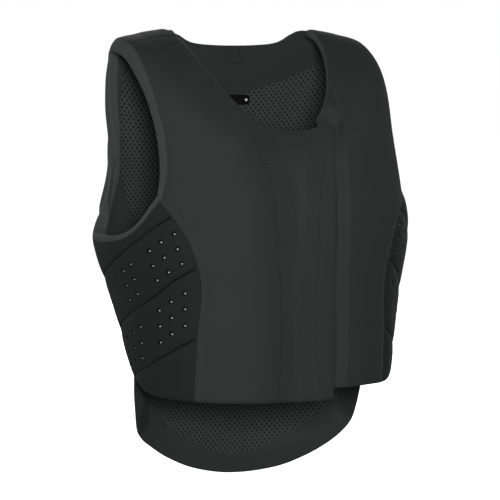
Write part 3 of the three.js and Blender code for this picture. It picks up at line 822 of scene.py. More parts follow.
TAPE = ClothFinish("fastening_tape", "closure_tape", (0.008, 0.009, 0.009), (0.016, 0.017, 0.017),
                   pitch=0.0015, relief=1.0)
TAB_RUBBER = SmoothFinish("tab_rubber", "tab_rubber", (0.003, 0.003, 0.003), (0.005, 0.005, 0.005),
                          roughness=0.8, specular=0.06)
STUD_PLASTIC = SmoothFinish("stud_plastic", "stud_plastic", (0.5, 0.5, 0.48), (0.64, 0.64, 0.62),
                            roughness=0.4, specular=0.5)


class Wardrobe:
    """Gives pieces their material and body."""

    def __init__(self) -> None:
        """Builds the shared groups, with no material yet."""
        self.groups = SharedGroups()
        self.made: dict[str, Material] = {}

    def dress(self, piece: Piece, finish: ClothFinish | SmoothFinish, *nodes: str) -> Piece:
        """Finishes a piece, sets it on the body and lets it stand for its nodes.

        Args:
            piece: The piece.
            finish: Its finish.
            nodes: Nodes of the frame that it replaces.
        Returns:
            The piece.
        """
        if finish.name not in self.made:
            self.made[finish.name] = finish.material(self.groups)
        piece.data.materials.append(self.made[finish.name])
        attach(piece, BODY)
        if nodes:
            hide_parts(*nodes)
        log.info("%s: %d faces", piece.name, len(piece.data.polygons))
        return piece


@dataclass(frozen=True)
class Channel:
    """Sewn or pressed line in a wall: a route, the depth and width of its dent, and a wider softer one.

    A shape of a channel lists these numbers in this order, and a painted shade lists a darkness and a width.
    """

    route: Route
    depth: float
    width: float
    soft_depth: float = 0.0
    soft_width: float = 9.0

    def cut(self, points: Array) -> Array:
        """How far the outer face falls near the line."""
        far = self.route.gap(points)
        return dent(far, self.depth, self.width) + dent(far, self.soft_depth, self.soft_width)


Wall = Callable[[Array, Array], tuple[Array, Array]]


@dataclass(frozen=True)
class StitchRow:
    """Row of thread stitches sunk in a wall's outer face."""

    pitch: float = 3.8
    length: float = 1.7
    thick: float = 1.0
    sides: int = 6
    bands: int = 5
    look_ahead: float = 0.5
    pole: float = 0.02
    crease: float = 80.0

    def along(self, route: Route, wall: Wall, start: float, end: float) -> tuple[Array, Array]:
        """Stitches along a route: each an ellipsoid stretched along the route, half sunk in the face.

        Args:
            route: Route of the row.
            wall: Gives the inner and outer distance of the wall at places.
            start: Distance of the first stitch from the route's start.
            end: Distance of the last stitch from the route's end.
        Returns:
            Points and the corner numbers of their quads.
        """
        at = np.arange(start, route.length - end, self.pitch)
        centre, ahead = route.at(at), route.at(at + self.look_ahead)
        surface = [FORM.offset(p[:, 0], p[:, 1], wall(p[:, 0], p[:, 1])[1]) for p in (centre, ahead)]
        along = unit(surface[1] - surface[0])
        out = FORM.normal(centre[:, 0], centre[:, 1])
        across = unit(np.cross(out, along))
        polar = np.linspace(self.pole, math.pi - self.pole, self.bands)
        turn = np.linspace(0, math.tau, self.sides, endpoint=False)
        size = np.array([self.length / 2, self.thick / 2, self.thick / 2])
        shape = np.stack([np.cos(polar)[:, None] + 0 * turn, np.sin(polar)[:, None] * np.cos(turn),
                          np.sin(polar)[:, None] * np.sin(turn)], -1) * size
        axes = np.stack([along, across, out], 1)
        points = surface[0][:, None, None] + np.einsum("bsk,nkd->nbsd", shape, axes)
        quad = revolved_faces(self.bands, self.sides)
        faces = quad[None, :, ::-1] + (np.arange(len(at)) * self.bands * self.sides)[:, None, None]
        return points.reshape(-1, 3), faces.reshape(-1, 4)

    def piece(self, name: str, rows: Sequence[tuple[Array, Array]]) -> Piece:
        """One mesh of several rows of stitches."""
        starts = np.cumsum([0] + [len(points) for points, _ in rows[:-1]])
        points = np.concatenate([p for p, _ in rows])
        faces = np.concatenate([f + s for (_, f), s in zip(rows, starts)])
        fields = {"cloth": points * MM, "painted_shade": np.zeros(len(points))}
        return add_mesh(name, points, faces, fields, self.crease)


class Pad:
    """Padded wall over a patch of the form."""

    name: str
    node: str
    finish: ClothFinish
    fill: float
    crease_angle = CREASE
    far_share = 2.0
    loops: Sequence[Route] = ()

    def patch(self) -> Patch:
        """Grid of the pad on the form."""
        raise NotImplementedError

    def wall(self, angle: Array, ring: Array) -> tuple[Array, Array]:
        """Inner and outer distance from the form at places."""
        raise NotImplementedError

    def armhole_share(self, points: Array) -> Array:
        """Distance from the pad's armholes as a share of their bevel, far away on a pad without any."""
        if not self.loops:
            return np.full(points.shape[:-1], self.far_share)
        return np.min([loop.gap(points) for loop in self.loops], axis=0) / ARMHOLE_EDGE.width

    def band(self, points: Array, ring: Array) -> Array:
        """Place across the pale band along the armholes, below 1 inside it, half as wide under the arm."""
        return self.armhole_share(points) * (1 + underarm(ring))

    def shade(self, points: Array) -> Array:
        """How much painted shade darkens the cloth along sewn lines and in grooves, from 0 to 1."""
        return np.zeros(points.shape[:-1])

    def holes(self, patch: Patch) -> Array:
        """Depth, painted shade and paleness of holes at each grid point, none on a plain pad."""
        return np.zeros((3, *patch.angle.shape))

    def build(self, wardrobe: Wardrobe) -> Piece:
        patch = self.patch()
        sunk, dark, pale = self.holes(patch)
        inner, outer = self.wall(patch.angle, patch.ring)
        front = FORM.offset(patch.angle, patch.ring, outer - sunk)
        back = FORM.offset(patch.angle, patch.ring, inner + sunk)
        points = patch.points()
        # Painted shade: the darkness of the holes, and what the pad's shade gives
        fields = {"cloth": cloth_field(front), "painted_shade": np.maximum(dark, self.shade(points)),
                  "edge": self.band(points, patch.ring)}
        if self.finish.floor is not None:
            fields["floor"] = pale
        piece = wall_mesh(self.name, front, back, fields=fields, crease=self.crease_angle)
        return wardrobe.dress(piece, self.finish, self.node)


def past_edge(route: Route, angle: Array, ring: Array) -> Array:
    """How far across the front places lie past an edge route at the same ring."""
    edge = np.interp(ring, route.places[:, 1], route.places[:, 0])
    return FORM.point(angle, ring)[..., 0] - FORM.point(edge, ring)[..., 0]


def front_wall(ring: Array) -> Array:
    """Thickness of a front, which thins to the strap."""
    strap_start = 7
    return FRONT_WALL + (STRAP_WALL - FRONT_WALL) * smoothstep(strap_start, NECK, ring)


class FrontPanel(Pad):
    """What both fronts share: their side seam, armhole and shoulder, and how they thin there."""

    fill = 0.8
    finish = FRONT_KNIT
    lip_radius = 1.6
    neck_rim = 1.5
    seam_rows = (1.7, 4.6)
    seam_ends = (4, 3)
    crease_rows = [(77, 7.05), (79, 8), (80, NECK)]
    crease_shape = (0.8, 1.3)
    line_reach = 1.3
    unevenness = 0.5
    even_rim = 25
    # Rows of the grid: cells between marks, which are shares of the armhole past the seam
    cells: Sequence[int]
    arm_marks: Sequence[float]

    def __init__(self, side: int, hem: Rows, hem_end: Sequence[float], neck: Rows) -> None:
        """Traces the edges.

        Args:
            side: -1 for the wearer's right, 1 for the left.
            hem: Rows of the hem.
            hem_end: The hem's end at the side seam.
            neck: Rows of the neckline.
        """
        self.seam = Route.through([hem_end, *on_side(SEAM_RISE, side)])
        self.armhole = Route.through(on_side(ARMHOLE_FRONT, side))
        self.loops = [armhole_loop(side)]
        self.crease = Channel(Route.through(on_side(self.crease_rows, side)), *self.crease_shape)
        self.shoulder = Route.through(on_side(SHOULDER, side))
        self.hem = Route.through(hem)
        self.neck = Route.through(neck)
        self.outer_edge = Route.join(self.seam, self.armhole)
        self.tongue = Route.through(TONGUE_EDGE)
        self.flap = Route.through(FLAP_EDGE)

    def outer_stations(self) -> Array:
        """Distances of the rows along the side seam and armhole."""
        marks = [self.seam.length + share * self.armhole.length for share in self.arm_marks]
        return stations([0, *marks], self.cells)

    def band(self, points: Array, ring: Array) -> Array:
        """The pale band of the armhole, and a narrow one along the neck."""
        return np.minimum(super().band(points, ring), self.neck.gap(points) / self.neck_rim)

    def seam_stitches(self, row: StitchRow, towards: int) -> list[tuple[Array, Array]]:
        """Two rows of stitches beside the side seam."""
        beside = [beside_seam(self.seam, towards, gap) for gap in self.seam_rows]
        return [row.along(route, self.wall, *self.seam_ends) for route in beside]

    def thinning(self, points: Array, ring: Array) -> tuple[Array, Array, Array]:
        """Drop of the outer face at the edges that both fronts have, and distances to free and sewn edges."""
        seam, neck, hem = (route.gap(points) for route in (self.seam, self.neck, self.hem))
        sewn = np.minimum(seam, self.shoulder.gap(points))
        drop = np.max([SEAM_EDGE.thinning(sewn), NECK_EDGE.thinning(neck), HEM_EDGE.thinning(hem),
                       armhole_drop(self.armhole_share(points), ring)], axis=0)
        free = np.min([neck, hem, self.armhole.gap(points)], axis=0)
        return drop + self.crease.cut(points), free, sewn


class RightFront(FrontPanel):
    """Front on the wearer's right, whose flap laps over the other front, with three stitched lines."""

    name = "front_right_pad"
    node = "front_panel_right"
    line_rows = {
        "side": [(-13, 6.9), (-11, 6.53), (-8.6, 5.2), (-7.5, 4.22), (-7, 2.55), (-8.5, 1.38), (-9, 1.03)],
        "middle": [(-6.3, 7.7), (-5, 7.3), (-3, 5.6), (-2, 4.53), (-0.5, 3.1), (-2, 1.13), (-2, 1.03)],
        "flap": [(14.5, 8.08), (7.5, 6.4), (3.5, 4.88), (4, 2.95), (6.5, 1.12), (6.6, 1.03)],
    }
    channel_depth = {"side": 0.5, "middle": 0.4, "flap": 0.35}
    channel_soft = {"side": 0.5, "middle": 0.15, "flap": 0.1}
    channel_width = 1.5
    line_end = 2
    # Painted shade in the stitched lines, and a broad band of painted shade about the first line: darkness
    # and width
    line_painted_shade = (0.22, 0.9)
    side_line_painted_shade = (0.22, 22)
    flap_rounding = 0.5
    cells = (112, 12, 22, 74)
    arm_marks = (0, 0.1, 0.3, 1)
    flap_mark = 0.89
    columns = 100

    def __init__(self) -> None:
        """Traces the flap and the stitched lines."""
        hem_end = (-49, 1)
        neck = [FLAP_TOP[-1], *((angle, NECK) for angle in (-20, -45, -68, -90))]
        super().__init__(-1, [hem_end, (-20, 1), FLAP_EDGE[0]], hem_end, neck)
        self.flap_top = Route.through(FLAP_TOP)
        self.lines = {key: Route.through(rows) for key, rows in self.line_rows.items()}
        self.channels = [Channel(route, self.channel_depth[key], self.channel_width, self.channel_soft[key])
                         for key, route in self.lines.items()]

    def patch(self) -> Patch:
        """Rows from the side seam and armhole to the flap and neck."""
        flap, top = self.flap.length, self.flap_top.length
        edge = Route.join(self.flap, self.flap_top, self.neck)
        right = stations([0, self.flap_mark * flap, flap, flap + top, edge.length], self.cells)
        grid = Patch.between((self.outer_edge, self.outer_stations()), (edge, right), self.hem,
                             self.shoulder, even_columns(self.columns))
        for route in self.lines.values():
            grid.attract(route, self.line_reach)
        return grid

    def wall(self, angle: Array, ring: Array) -> tuple[Array, Array]:
        """Wall that lifts into the flap past the other front's tongue, dented along its stitched lines."""
        points = FORM.point(angle, ring)
        drop, edge, sewn = self.thinning(points, ring)
        flap_edge = np.minimum(self.flap.gap(points), self.flap_top.gap(points))
        flap_drop = np.maximum(HEM_EDGE.thinning(self.hem.gap(points)), NECK_EDGE.thinning(flap_edge))
        flap_outer = FLAP_OUTER - self.flap_rounding * flap_drop
        lift = smoothstep(-FLAP_STEP, 0, past_edge(self.tongue, angle, ring) + FLAP_CLEAR)
        round_off = np.maximum(lip(np.minimum(edge, flap_edge), self.lip_radius), lip(sewn, SEAM_LIP))
        outer = (front_wall(ring) - drop) * (1 - lift) + flap_outer * lift
        outer = outer - sum(channel.cut(points) for channel in self.channels)
        inside = smoothstep(0, self.even_rim, np.minimum(edge, flap_edge))
        outer = outer + waves(points, self.unevenness) * inside
        return FLAP_INNER * lift + round_off, outer - round_off

    def stitch_rows(self, row: StitchRow) -> list[tuple[Array, Array]]:
        """Stitches of the three lines and of the side seam."""
        ends = (self.line_end, self.line_end)
        rows = [row.along(route, self.wall, *ends) for route in self.lines.values()]
        return rows + self.seam_stitches(row, 1)

    def shade(self, points: Array) -> Array:
        """Painted shade in lines under the stitches, and a broad band of painted shade about the first of
        them.
        """
        gaps = [route.gap(points) for route in self.lines.values()]
        lines = np.max([dent(gap, *self.line_painted_shade) for gap in gaps], axis=0)
        return lines + dent(gaps[0], *self.side_line_painted_shade)


def beside_seam(seam: Route, towards: int, distance: float) -> Route:
    """Route beside a seam, a distance across the cloth towards the front centre.

    Args:
        seam: The seam.
        towards: 1 where the front centre has the larger angle, else -1.
        distance: Distance between the two.
    Returns:
        The route.
    """
    half_step, least_slant = 0.5, 0.4
    places = seam.places.copy()
    ends = [FORM.point(places[:, 0] + turn, places[:, 1]) for turn in (-half_step, half_step)]
    span = ends[1] - ends[0]
    along = unit(np.gradient(seam.points, axis=0))
    slant = np.linalg.norm(np.cross(unit(span), along), axis=-1)
    places[:, 0] += towards * distance / np.linalg.norm(span, axis=-1) / np.maximum(slant, least_slant)
    return Route(places)


class LeftFront(FrontPanel):
    """Front on the wearer's left, with a thin tongue under the flap and a tuck at its neck."""

    name = "front_left_pad"
    node = "front_panel_left"
    tuck_rows = [(47, NECK - 0.15), (40, 8.6), (33.5, 8.25), (28, 8.12)]
    tuck_shape = (1.3, 2.2)
    cells = (112, 30, 78)
    arm_marks = (0, 0.25, 1)
    tongue_mark = 0.8
    columns = 96

    def __init__(self) -> None:
        """Traces the hem, the neck and the tuck."""
        hem_end = HEM_LEFT[-1]
        neck = [TONGUE_EDGE[-1], *((angle, NECK) for angle in (30, 50, 70, 90))]
        super().__init__(1, [TONGUE_EDGE[0], (26, 1.12), hem_end], hem_end, neck)
        self.tuck = Channel(Route.through(self.tuck_rows), *self.tuck_shape)

    def patch(self) -> Patch:
        """Rows from the tongue and neck to the side seam and armhole."""
        tongue = self.tongue.length
        edge = Route.join(self.tongue, self.neck)
        left = stations([0, self.tongue_mark * tongue, tongue, edge.length], self.cells)
        grid = Patch.between((edge, left), (self.outer_edge, self.outer_stations()), self.hem,
                             Route(self.shoulder.places[::-1]), even_columns(self.columns))
        grid.attract(self.tuck.route, self.line_reach)
        return grid

    def wall(self, angle: Array, ring: Array) -> tuple[Array, Array]:
        """Wall that thins to the tongue past the flap's edge, with a tuck where the neck goes under it."""
        points = FORM.point(angle, ring)
        drop, edge, sewn = self.thinning(points, ring)
        tongue_edge = self.tongue.gap(points)
        round_off = np.maximum(lip(np.minimum(edge, tongue_edge), self.lip_radius), lip(sewn, SEAM_LIP))
        full = smoothstep(0, FLAP_STEP, past_edge(self.flap, angle, ring) - FLAP_CLEAR)
        outer = TONGUE_WALL * (1 - full) + (front_wall(ring) - drop) * full
        outer = outer - self.tuck.cut(points) * full
        outer = outer + waves(points, self.unevenness) * smoothstep(0, self.even_rim, edge) * full
        return round_off, outer - round_off

    def stitch_rows(self, row: StitchRow) -> list[tuple[Array, Array]]:
        """Stitches of the side seam."""
        return self.seam_stitches(row, -1)


class Closure(Pad):
    """Fastening tape hidden between the flap and the tongue."""

    name = "closure_strip"
    node = "front_closure"
    finish = TAPE
    fill = 1.0
    foot, top = 1.2, 6.4
    inner, outer = 5.0, 5.8
    tongue_inset, flap_inset = 1.2, 2.5
    rows, columns = 60, 16

    def patch(self) -> Patch:
        """Rows between the tongue's and the flap's edges, inset from both."""
        ring = np.linspace(self.foot, self.top, self.rows)
        ends = []
        for rows, inset in ((TONGUE_EDGE, self.tongue_inset), (FLAP_EDGE, -self.flap_inset)):
            edge = Route.through(rows).places
            ends.append(np.interp(ring, edge[:, 1], edge[:, 0]) + inset)
        share = np.linspace(0, 1, self.columns)
        angle = ends[0][:, None] + (ends[1] - ends[0])[:, None] * share
        return Patch(angle, np.broadcast_to(ring[:, None], angle.shape))

    def wall(self, angle: Array, ring: Array) -> tuple[Array, Array]:
        """Plain tape."""
        return np.full(angle.shape, self.inner), np.full(angle.shape, self.outer)


@dataclass(frozen=True)
class Vents:
    """Round vents of a side panel: grid points drawn onto circles and sunk, round a pale raised floor, with
    their walls painted near black as shade.
    """

    groups: tuple = (
        ((45.5, 4.25), (57, 3.9), (43.5, 3.7), (56.5, 3.35)),
        ((68.5, 3.62), (80.5, 3.32), (70, 3.03), (83.5, 2.73)),
        ((45, 3.12), (59.5, 2.75), (48, 2.5), (63, 2.15)),
        ((74, 2.4), (87.5, 2.14), (78.5, 1.77), (92, 1.56)),
    )
    per_row: int = 3
    radii: tuple = (0.0, 0.8, 1.05, 2.35, 2.6, 4.3)
    pull: tuple = (1.0, 1.0, 1.0, 1.0, 1.0, 0.55)
    sink: tuple = (0.3, 0.42, 1.0, 1.0, 0.05, 0.0)
    # Share of painted shade on each ring of the vent
    dark: tuple = (1.0, 1.0, 1.0, 1.0, 0.35, 0.0)
    pale: tuple = (1.0, 1.0, 0.0, 0.0, 0.0, 0.0)
    depth: float = 2.6
    floor_shift: tuple = (0.0, -0.9, -0.6)
    floor_rings: int = 2

    def places(self, side: int) -> Array:
        """Angle and ring of each vent, spread evenly between the corners of its group."""
        share = np.linspace(0, 1, self.per_row)
        down, back = np.meshgrid(share, share, indexing="ij")
        down, back = down[..., None], back[..., None]
        rows = []
        for corners in self.groups:
            front_top, rear_top, front_foot, rear_foot = np.array(corners)
            top = front_top + (rear_top - front_top) * back
            foot = front_foot + (rear_foot - front_foot) * back
            rows.append((top + (foot - top) * down).reshape(-1, 2))
        return np.concatenate(rows) * (side, 1)

    def square(self) -> tuple[Array, Array, Array, Array]:
        """Square of grid steps round a vent, each ring of which goes to a circle by its place on the square.

        Returns:
            Steps up, steps across, ring number and angle on the circle.
        """
        reach = np.arange(1 - len(self.radii), len(self.radii))
        di, dj = np.meshgrid(reach, reach, indexing="ij")
        flat = abs(dj) >= abs(di)
        slope = np.where(flat, di / np.where(dj == 0, 1, dj), dj / np.where(di == 0, 1, di))
        theta = np.where(flat, slope * math.pi / 4 + math.pi * (dj < 0),
                         math.pi / 2 - slope * math.pi / 4 + math.pi * (di < 0))
        return di, dj, np.maximum(abs(di), abs(dj)), theta

    def press(self, patch: Patch, side: int) -> Array:
        """Draws the grid round each vent onto circles, and tells how deep each grid point is and how much
        painted shade and pale floor it takes.

        Steps in millimetres become steps of the grid through the grid's own directions at the vent.

        Args:
            patch: The panel's grid, which is changed.
            side: -1 for the wearer's right, 1 for the left.
        Returns:
            Depth, painted shade and paleness at each grid point.
        """
        points = patch.points()
        places = self.places(side)
        centres = FORM.point(places[:, 0], places[:, 1])
        gaps = np.linalg.norm(points.reshape(-1, 1, 3) - centres, axis=-1)
        row, column = np.unravel_index(gaps.argmin(0), patch.angle.shape)
        step_row = (points[row + 1, column] - points[row - 1, column]) / 2
        step_column = (points[row, column + 1] - points[row, column - 1]) / 2
        across = unit(step_column)
        up = unit(step_row - (step_row * across).sum(-1, keepdims=True) * across)
        to_grid = np.linalg.pinv(np.stack([step_row, step_column], -1))
        di, dj, square, theta = self.square()
        radius = np.array(self.radii)[square]
        circle = (across[:, None, None] * (radius * np.cos(theta))[..., None]
                  + up[:, None, None] * (radius * np.sin(theta))[..., None])
        lean = sum(axis * (axis @ np.array(self.floor_shift))[:, None] for axis in (across, up))
        circle = circle + lean[:, None, None] * (square <= self.floor_rings)[..., None]
        shift = (centres - points[row, column])[:, None, None] + circle
        moved = np.einsum("nkd,nijd->nijk", to_grid, shift)
        pull = np.array(self.pull)[square][..., None]
        local = np.stack([di, dj], -1)
        spot = np.stack([row, column], -1)[:, None, None] + local + (moved - local) * pull
        target = row[:, None, None] + di, column[:, None, None] + dj
        for values in (patch.angle, patch.ring):
            values[target] = read_grid(values.copy(), spot)
        fields = np.zeros((3, *patch.angle.shape))
        for field, values in zip(fields, (self.sink, self.dark, self.pale)):
            field[target] = np.array(values)[square]
        fields[0] *= self.depth
        return fields


def read_grid(values: Array, spot: Array) -> Array:
    """Value of a grid at fractional row and column numbers, blended from the four points round it."""
    low = np.clip(np.floor(spot).astype(int), 0, np.array(values.shape) - 2)
    f, g = np.moveaxis(spot - low, -1, 0)
    i, j = np.moveaxis(low, -1, 0)
    return ((1 - f) * ((1 - g) * values[i, j] + g * values[i, j + 1])
            + f * ((1 - g) * values[i + 1, j] + g * values[i + 1, j + 1]))


class SidePanel(Pad):
    """Padded side with three slanting grooves and four groups of vents."""

    finish = SIDE_KNIT
    fill = 0.75
    crease_angle = 42.0
    lip_radius = 1.5
    rows, columns = 200, 150
    seam_blend = 14
    unevenness = 0.7
    even_rim = 20
    groove_shape = (2.4, 1.1, 1.1, 7.0)
    groove_rim = (-1, 6)
    groove_reach = 0.8
    # Painted shade in the grooves: darkness and width
    groove_painted_shade = (0.85, 1)
    groove_rows = (
        [(47.5, 4.53), (54.5, 4.3), (65, 3.98), (85.5, 3.5), (114, 2.95)],
        [(39, 3.58), (48.5, 3.35), (61, 2.98), (72, 2.75), (88.5, 2.45), (111, 2.1)],
        [(45.5, 2.22), (55.5, 2.02), (70, 1.7), (77, 1.53), (86, 1.38), (99, 1.15)],
    )

    def __init__(self, side: int) -> None:
        """Traces the edges and the grooves for one side."""
        self.side = side
        self.name = "side_right_pad" if side < 0 else "side_left_pad"
        self.node = "side_panel_right" if side < 0 else "side_panel_left"
        hem = on_side(HEM_RIGHT if side < 0 else HEM_LEFT, side)
        self.seam = Route.through([hem[-1], *on_side(SEAM_RISE, side)])
        self.rear = Route.through(on_side(REAR_RISE, side))
        self.hem = Route.through(hem)
        self.under = Route.through(on_side(ARMHOLE_UNDER, side))
        self.loops = [armhole_loop(side)]
        grooves = [Route.through(on_side(rows, side)) for rows in self.groove_rows]
        self.grooves = [Channel(route, *self.groove_shape) for route in grooves]
        self.vents = Vents()

    def patch(self) -> Patch:
        """Rows between the rear edge and the front seam, drawn to the grooves."""
        edges = [(edge, stations([0, edge.length], (self.rows,))) for edge in (self.rear, self.seam)]
        if self.side < 0:
            bottom, top = self.hem, self.under
        else:
            edges.reverse()
            bottom, top = Route(self.hem.places[::-1]), Route(self.under.places[::-1])
        grid = Patch.between(*edges, bottom, top, even_columns(self.columns))
        for groove in self.grooves:
            grid.attract(groove.route, self.groove_reach)
        return grid

    def wall(self, angle: Array, ring: Array) -> tuple[Array, Array]:
        """Wall thinned at the armhole, hem and seams, and pressed in along its grooves."""
        points = FORM.point(angle, ring)
        routes = (self.seam, self.rear, self.hem, self.under)
        seam, rear, hem, under = (route.gap(points) for route in routes)
        sewn = np.minimum(seam, rear)
        drop = np.max([SEAM_EDGE.thinning(sewn), HEM_EDGE.thinning(hem),
                       armhole_drop(self.armhole_share(points), ring)], axis=0)
        free = np.minimum(hem, under)
        edge = np.minimum(free, sewn)
        round_off = np.maximum(lip(free, self.lip_radius), lip(sewn, SEAM_LIP))
        cut = np.max([groove.cut(points) for groove in self.grooves], axis=0)
        wall = FRONT_WALL + (SIDE_WALL - FRONT_WALL) * smoothstep(0, self.seam_blend, seam)
        outer = wall - drop - cut * smoothstep(*self.groove_rim, edge) - round_off
        inner = round_off - UNDERARM_ROLL.swelling(angle, ring, self.loops[0].gap(points))
        return inner, outer + waves(points, self.unevenness) * smoothstep(0, self.even_rim, edge)

    def shade(self, points: Array) -> Array:
        """Painted shade in the grooves."""
        return np.max([dent(groove.route.gap(points), *self.groove_painted_shade) for groove in self.grooves], axis=0)

    def holes(self, patch: Patch) -> Array:
        """The vents, for which the grid is drawn onto circles."""
        return self.vents.press(patch, self.side)


def outline_of(*parts: Rows) -> Array:
    """Closed outline on the back from rows for the wearer's left half, mirrored for the right."""
    half = [row for part in parts for row in part]
    return np.array(half + [(-x, z) for x, z in reversed(half) if x != 0], float)


def rounded(rows: Rows, steps: int = 6) -> Rows:
    """Smooth curve through rows of an outline."""
    table = np.asarray(rows, float)
    spot = np.linspace(0, len(table) - 1, (len(table) - 1) * steps + 1)
    return [tuple(row) for row in hermite(table, spot, np.gradient(table, axis=0))]


@dataclass(frozen=True)
class Outline:
    """Closed outline on the back, seen along Y."""

    corners: Array

    def nearest(self, spots: Array) -> tuple[Array, Array]:
        """Distance inside the outline, negative outside, and the nearest point of the outline.

        A spot is inside where a line from it crosses the outline an odd number of times.

        Args:
            spots: Rows of x and z.
        Returns:
            The distances and the nearest points.
        """
        start = self.corners
        step = np.roll(start, -1, axis=0) - start
        away = spots[:, None] - start
        share = np.clip((away * step).sum(-1) / np.maximum((step**2).sum(-1), TINY), 0, 1)
        foot = start + share[..., None] * step
        gap = np.linalg.norm(spots[:, None] - foot, axis=-1)
        best = gap.argmin(1)
        pick = np.arange(len(spots))
        above = start[:, 1] > spots[:, None, 1]
        crosses = above != np.roll(above, -1, axis=1)
        slope = step[:, 0] / np.where(step[:, 1] == 0, TINY, step[:, 1])
        left = spots[:, None, 0] < start[:, 0] + (spots[:, None, 1] - start[:, 1]) * slope
        inside = (crosses & left).sum(1) % 2 == 1
        return np.where(inside, 1, -1) * gap[pick, best], foot[pick, best]

    def depth(self, points: Array) -> Array:
        """Distance inside the outline of points of the back."""
        spots = points[..., [0, 2]].reshape(-1, 2)
        return self.nearest(spots)[0].reshape(points.shape[:-1])


LINING_OUTLINE = Outline(outline_of([(0, V_LINE[0][1])], V_LINE, LINING_SIDE, rounded(LINING_FOOT)))
YOKE_OUTLINE = Outline(outline_of([(0, V_LINE[0][1])], V_LINE, YOKE_SIDE))


class BackChart:
    """Flat chart of the back: distance across from its centre along a ring, and up from the tail."""

    up_samples = 721
    turn_samples = 381
    turn_ends = (275, 85)

    def __init__(self) -> None:
        """Measures the centre line."""
        self.ring = np.linspace(0, NECK, self.up_samples)
        self.up = run_length(FORM.point(BACK_CENTRE, self.ring))

    def patch(self, across: Array, up: Array) -> Patch:
        """Grid with given distances across and up."""
        ring = np.interp(up, self.up, self.ring)
        turn = np.linspace(*self.turn_ends, self.turn_samples)
        run = run_length(FORM.point(turn, ring[:, None]))
        centre = run[:, [np.abs(turn - BACK_CENTRE).argmin()]]
        angle = np.array([np.interp(across, row, turn) for row in run - centre])
        return Patch(angle, np.broadcast_to(ring[:, None], angle.shape).copy())


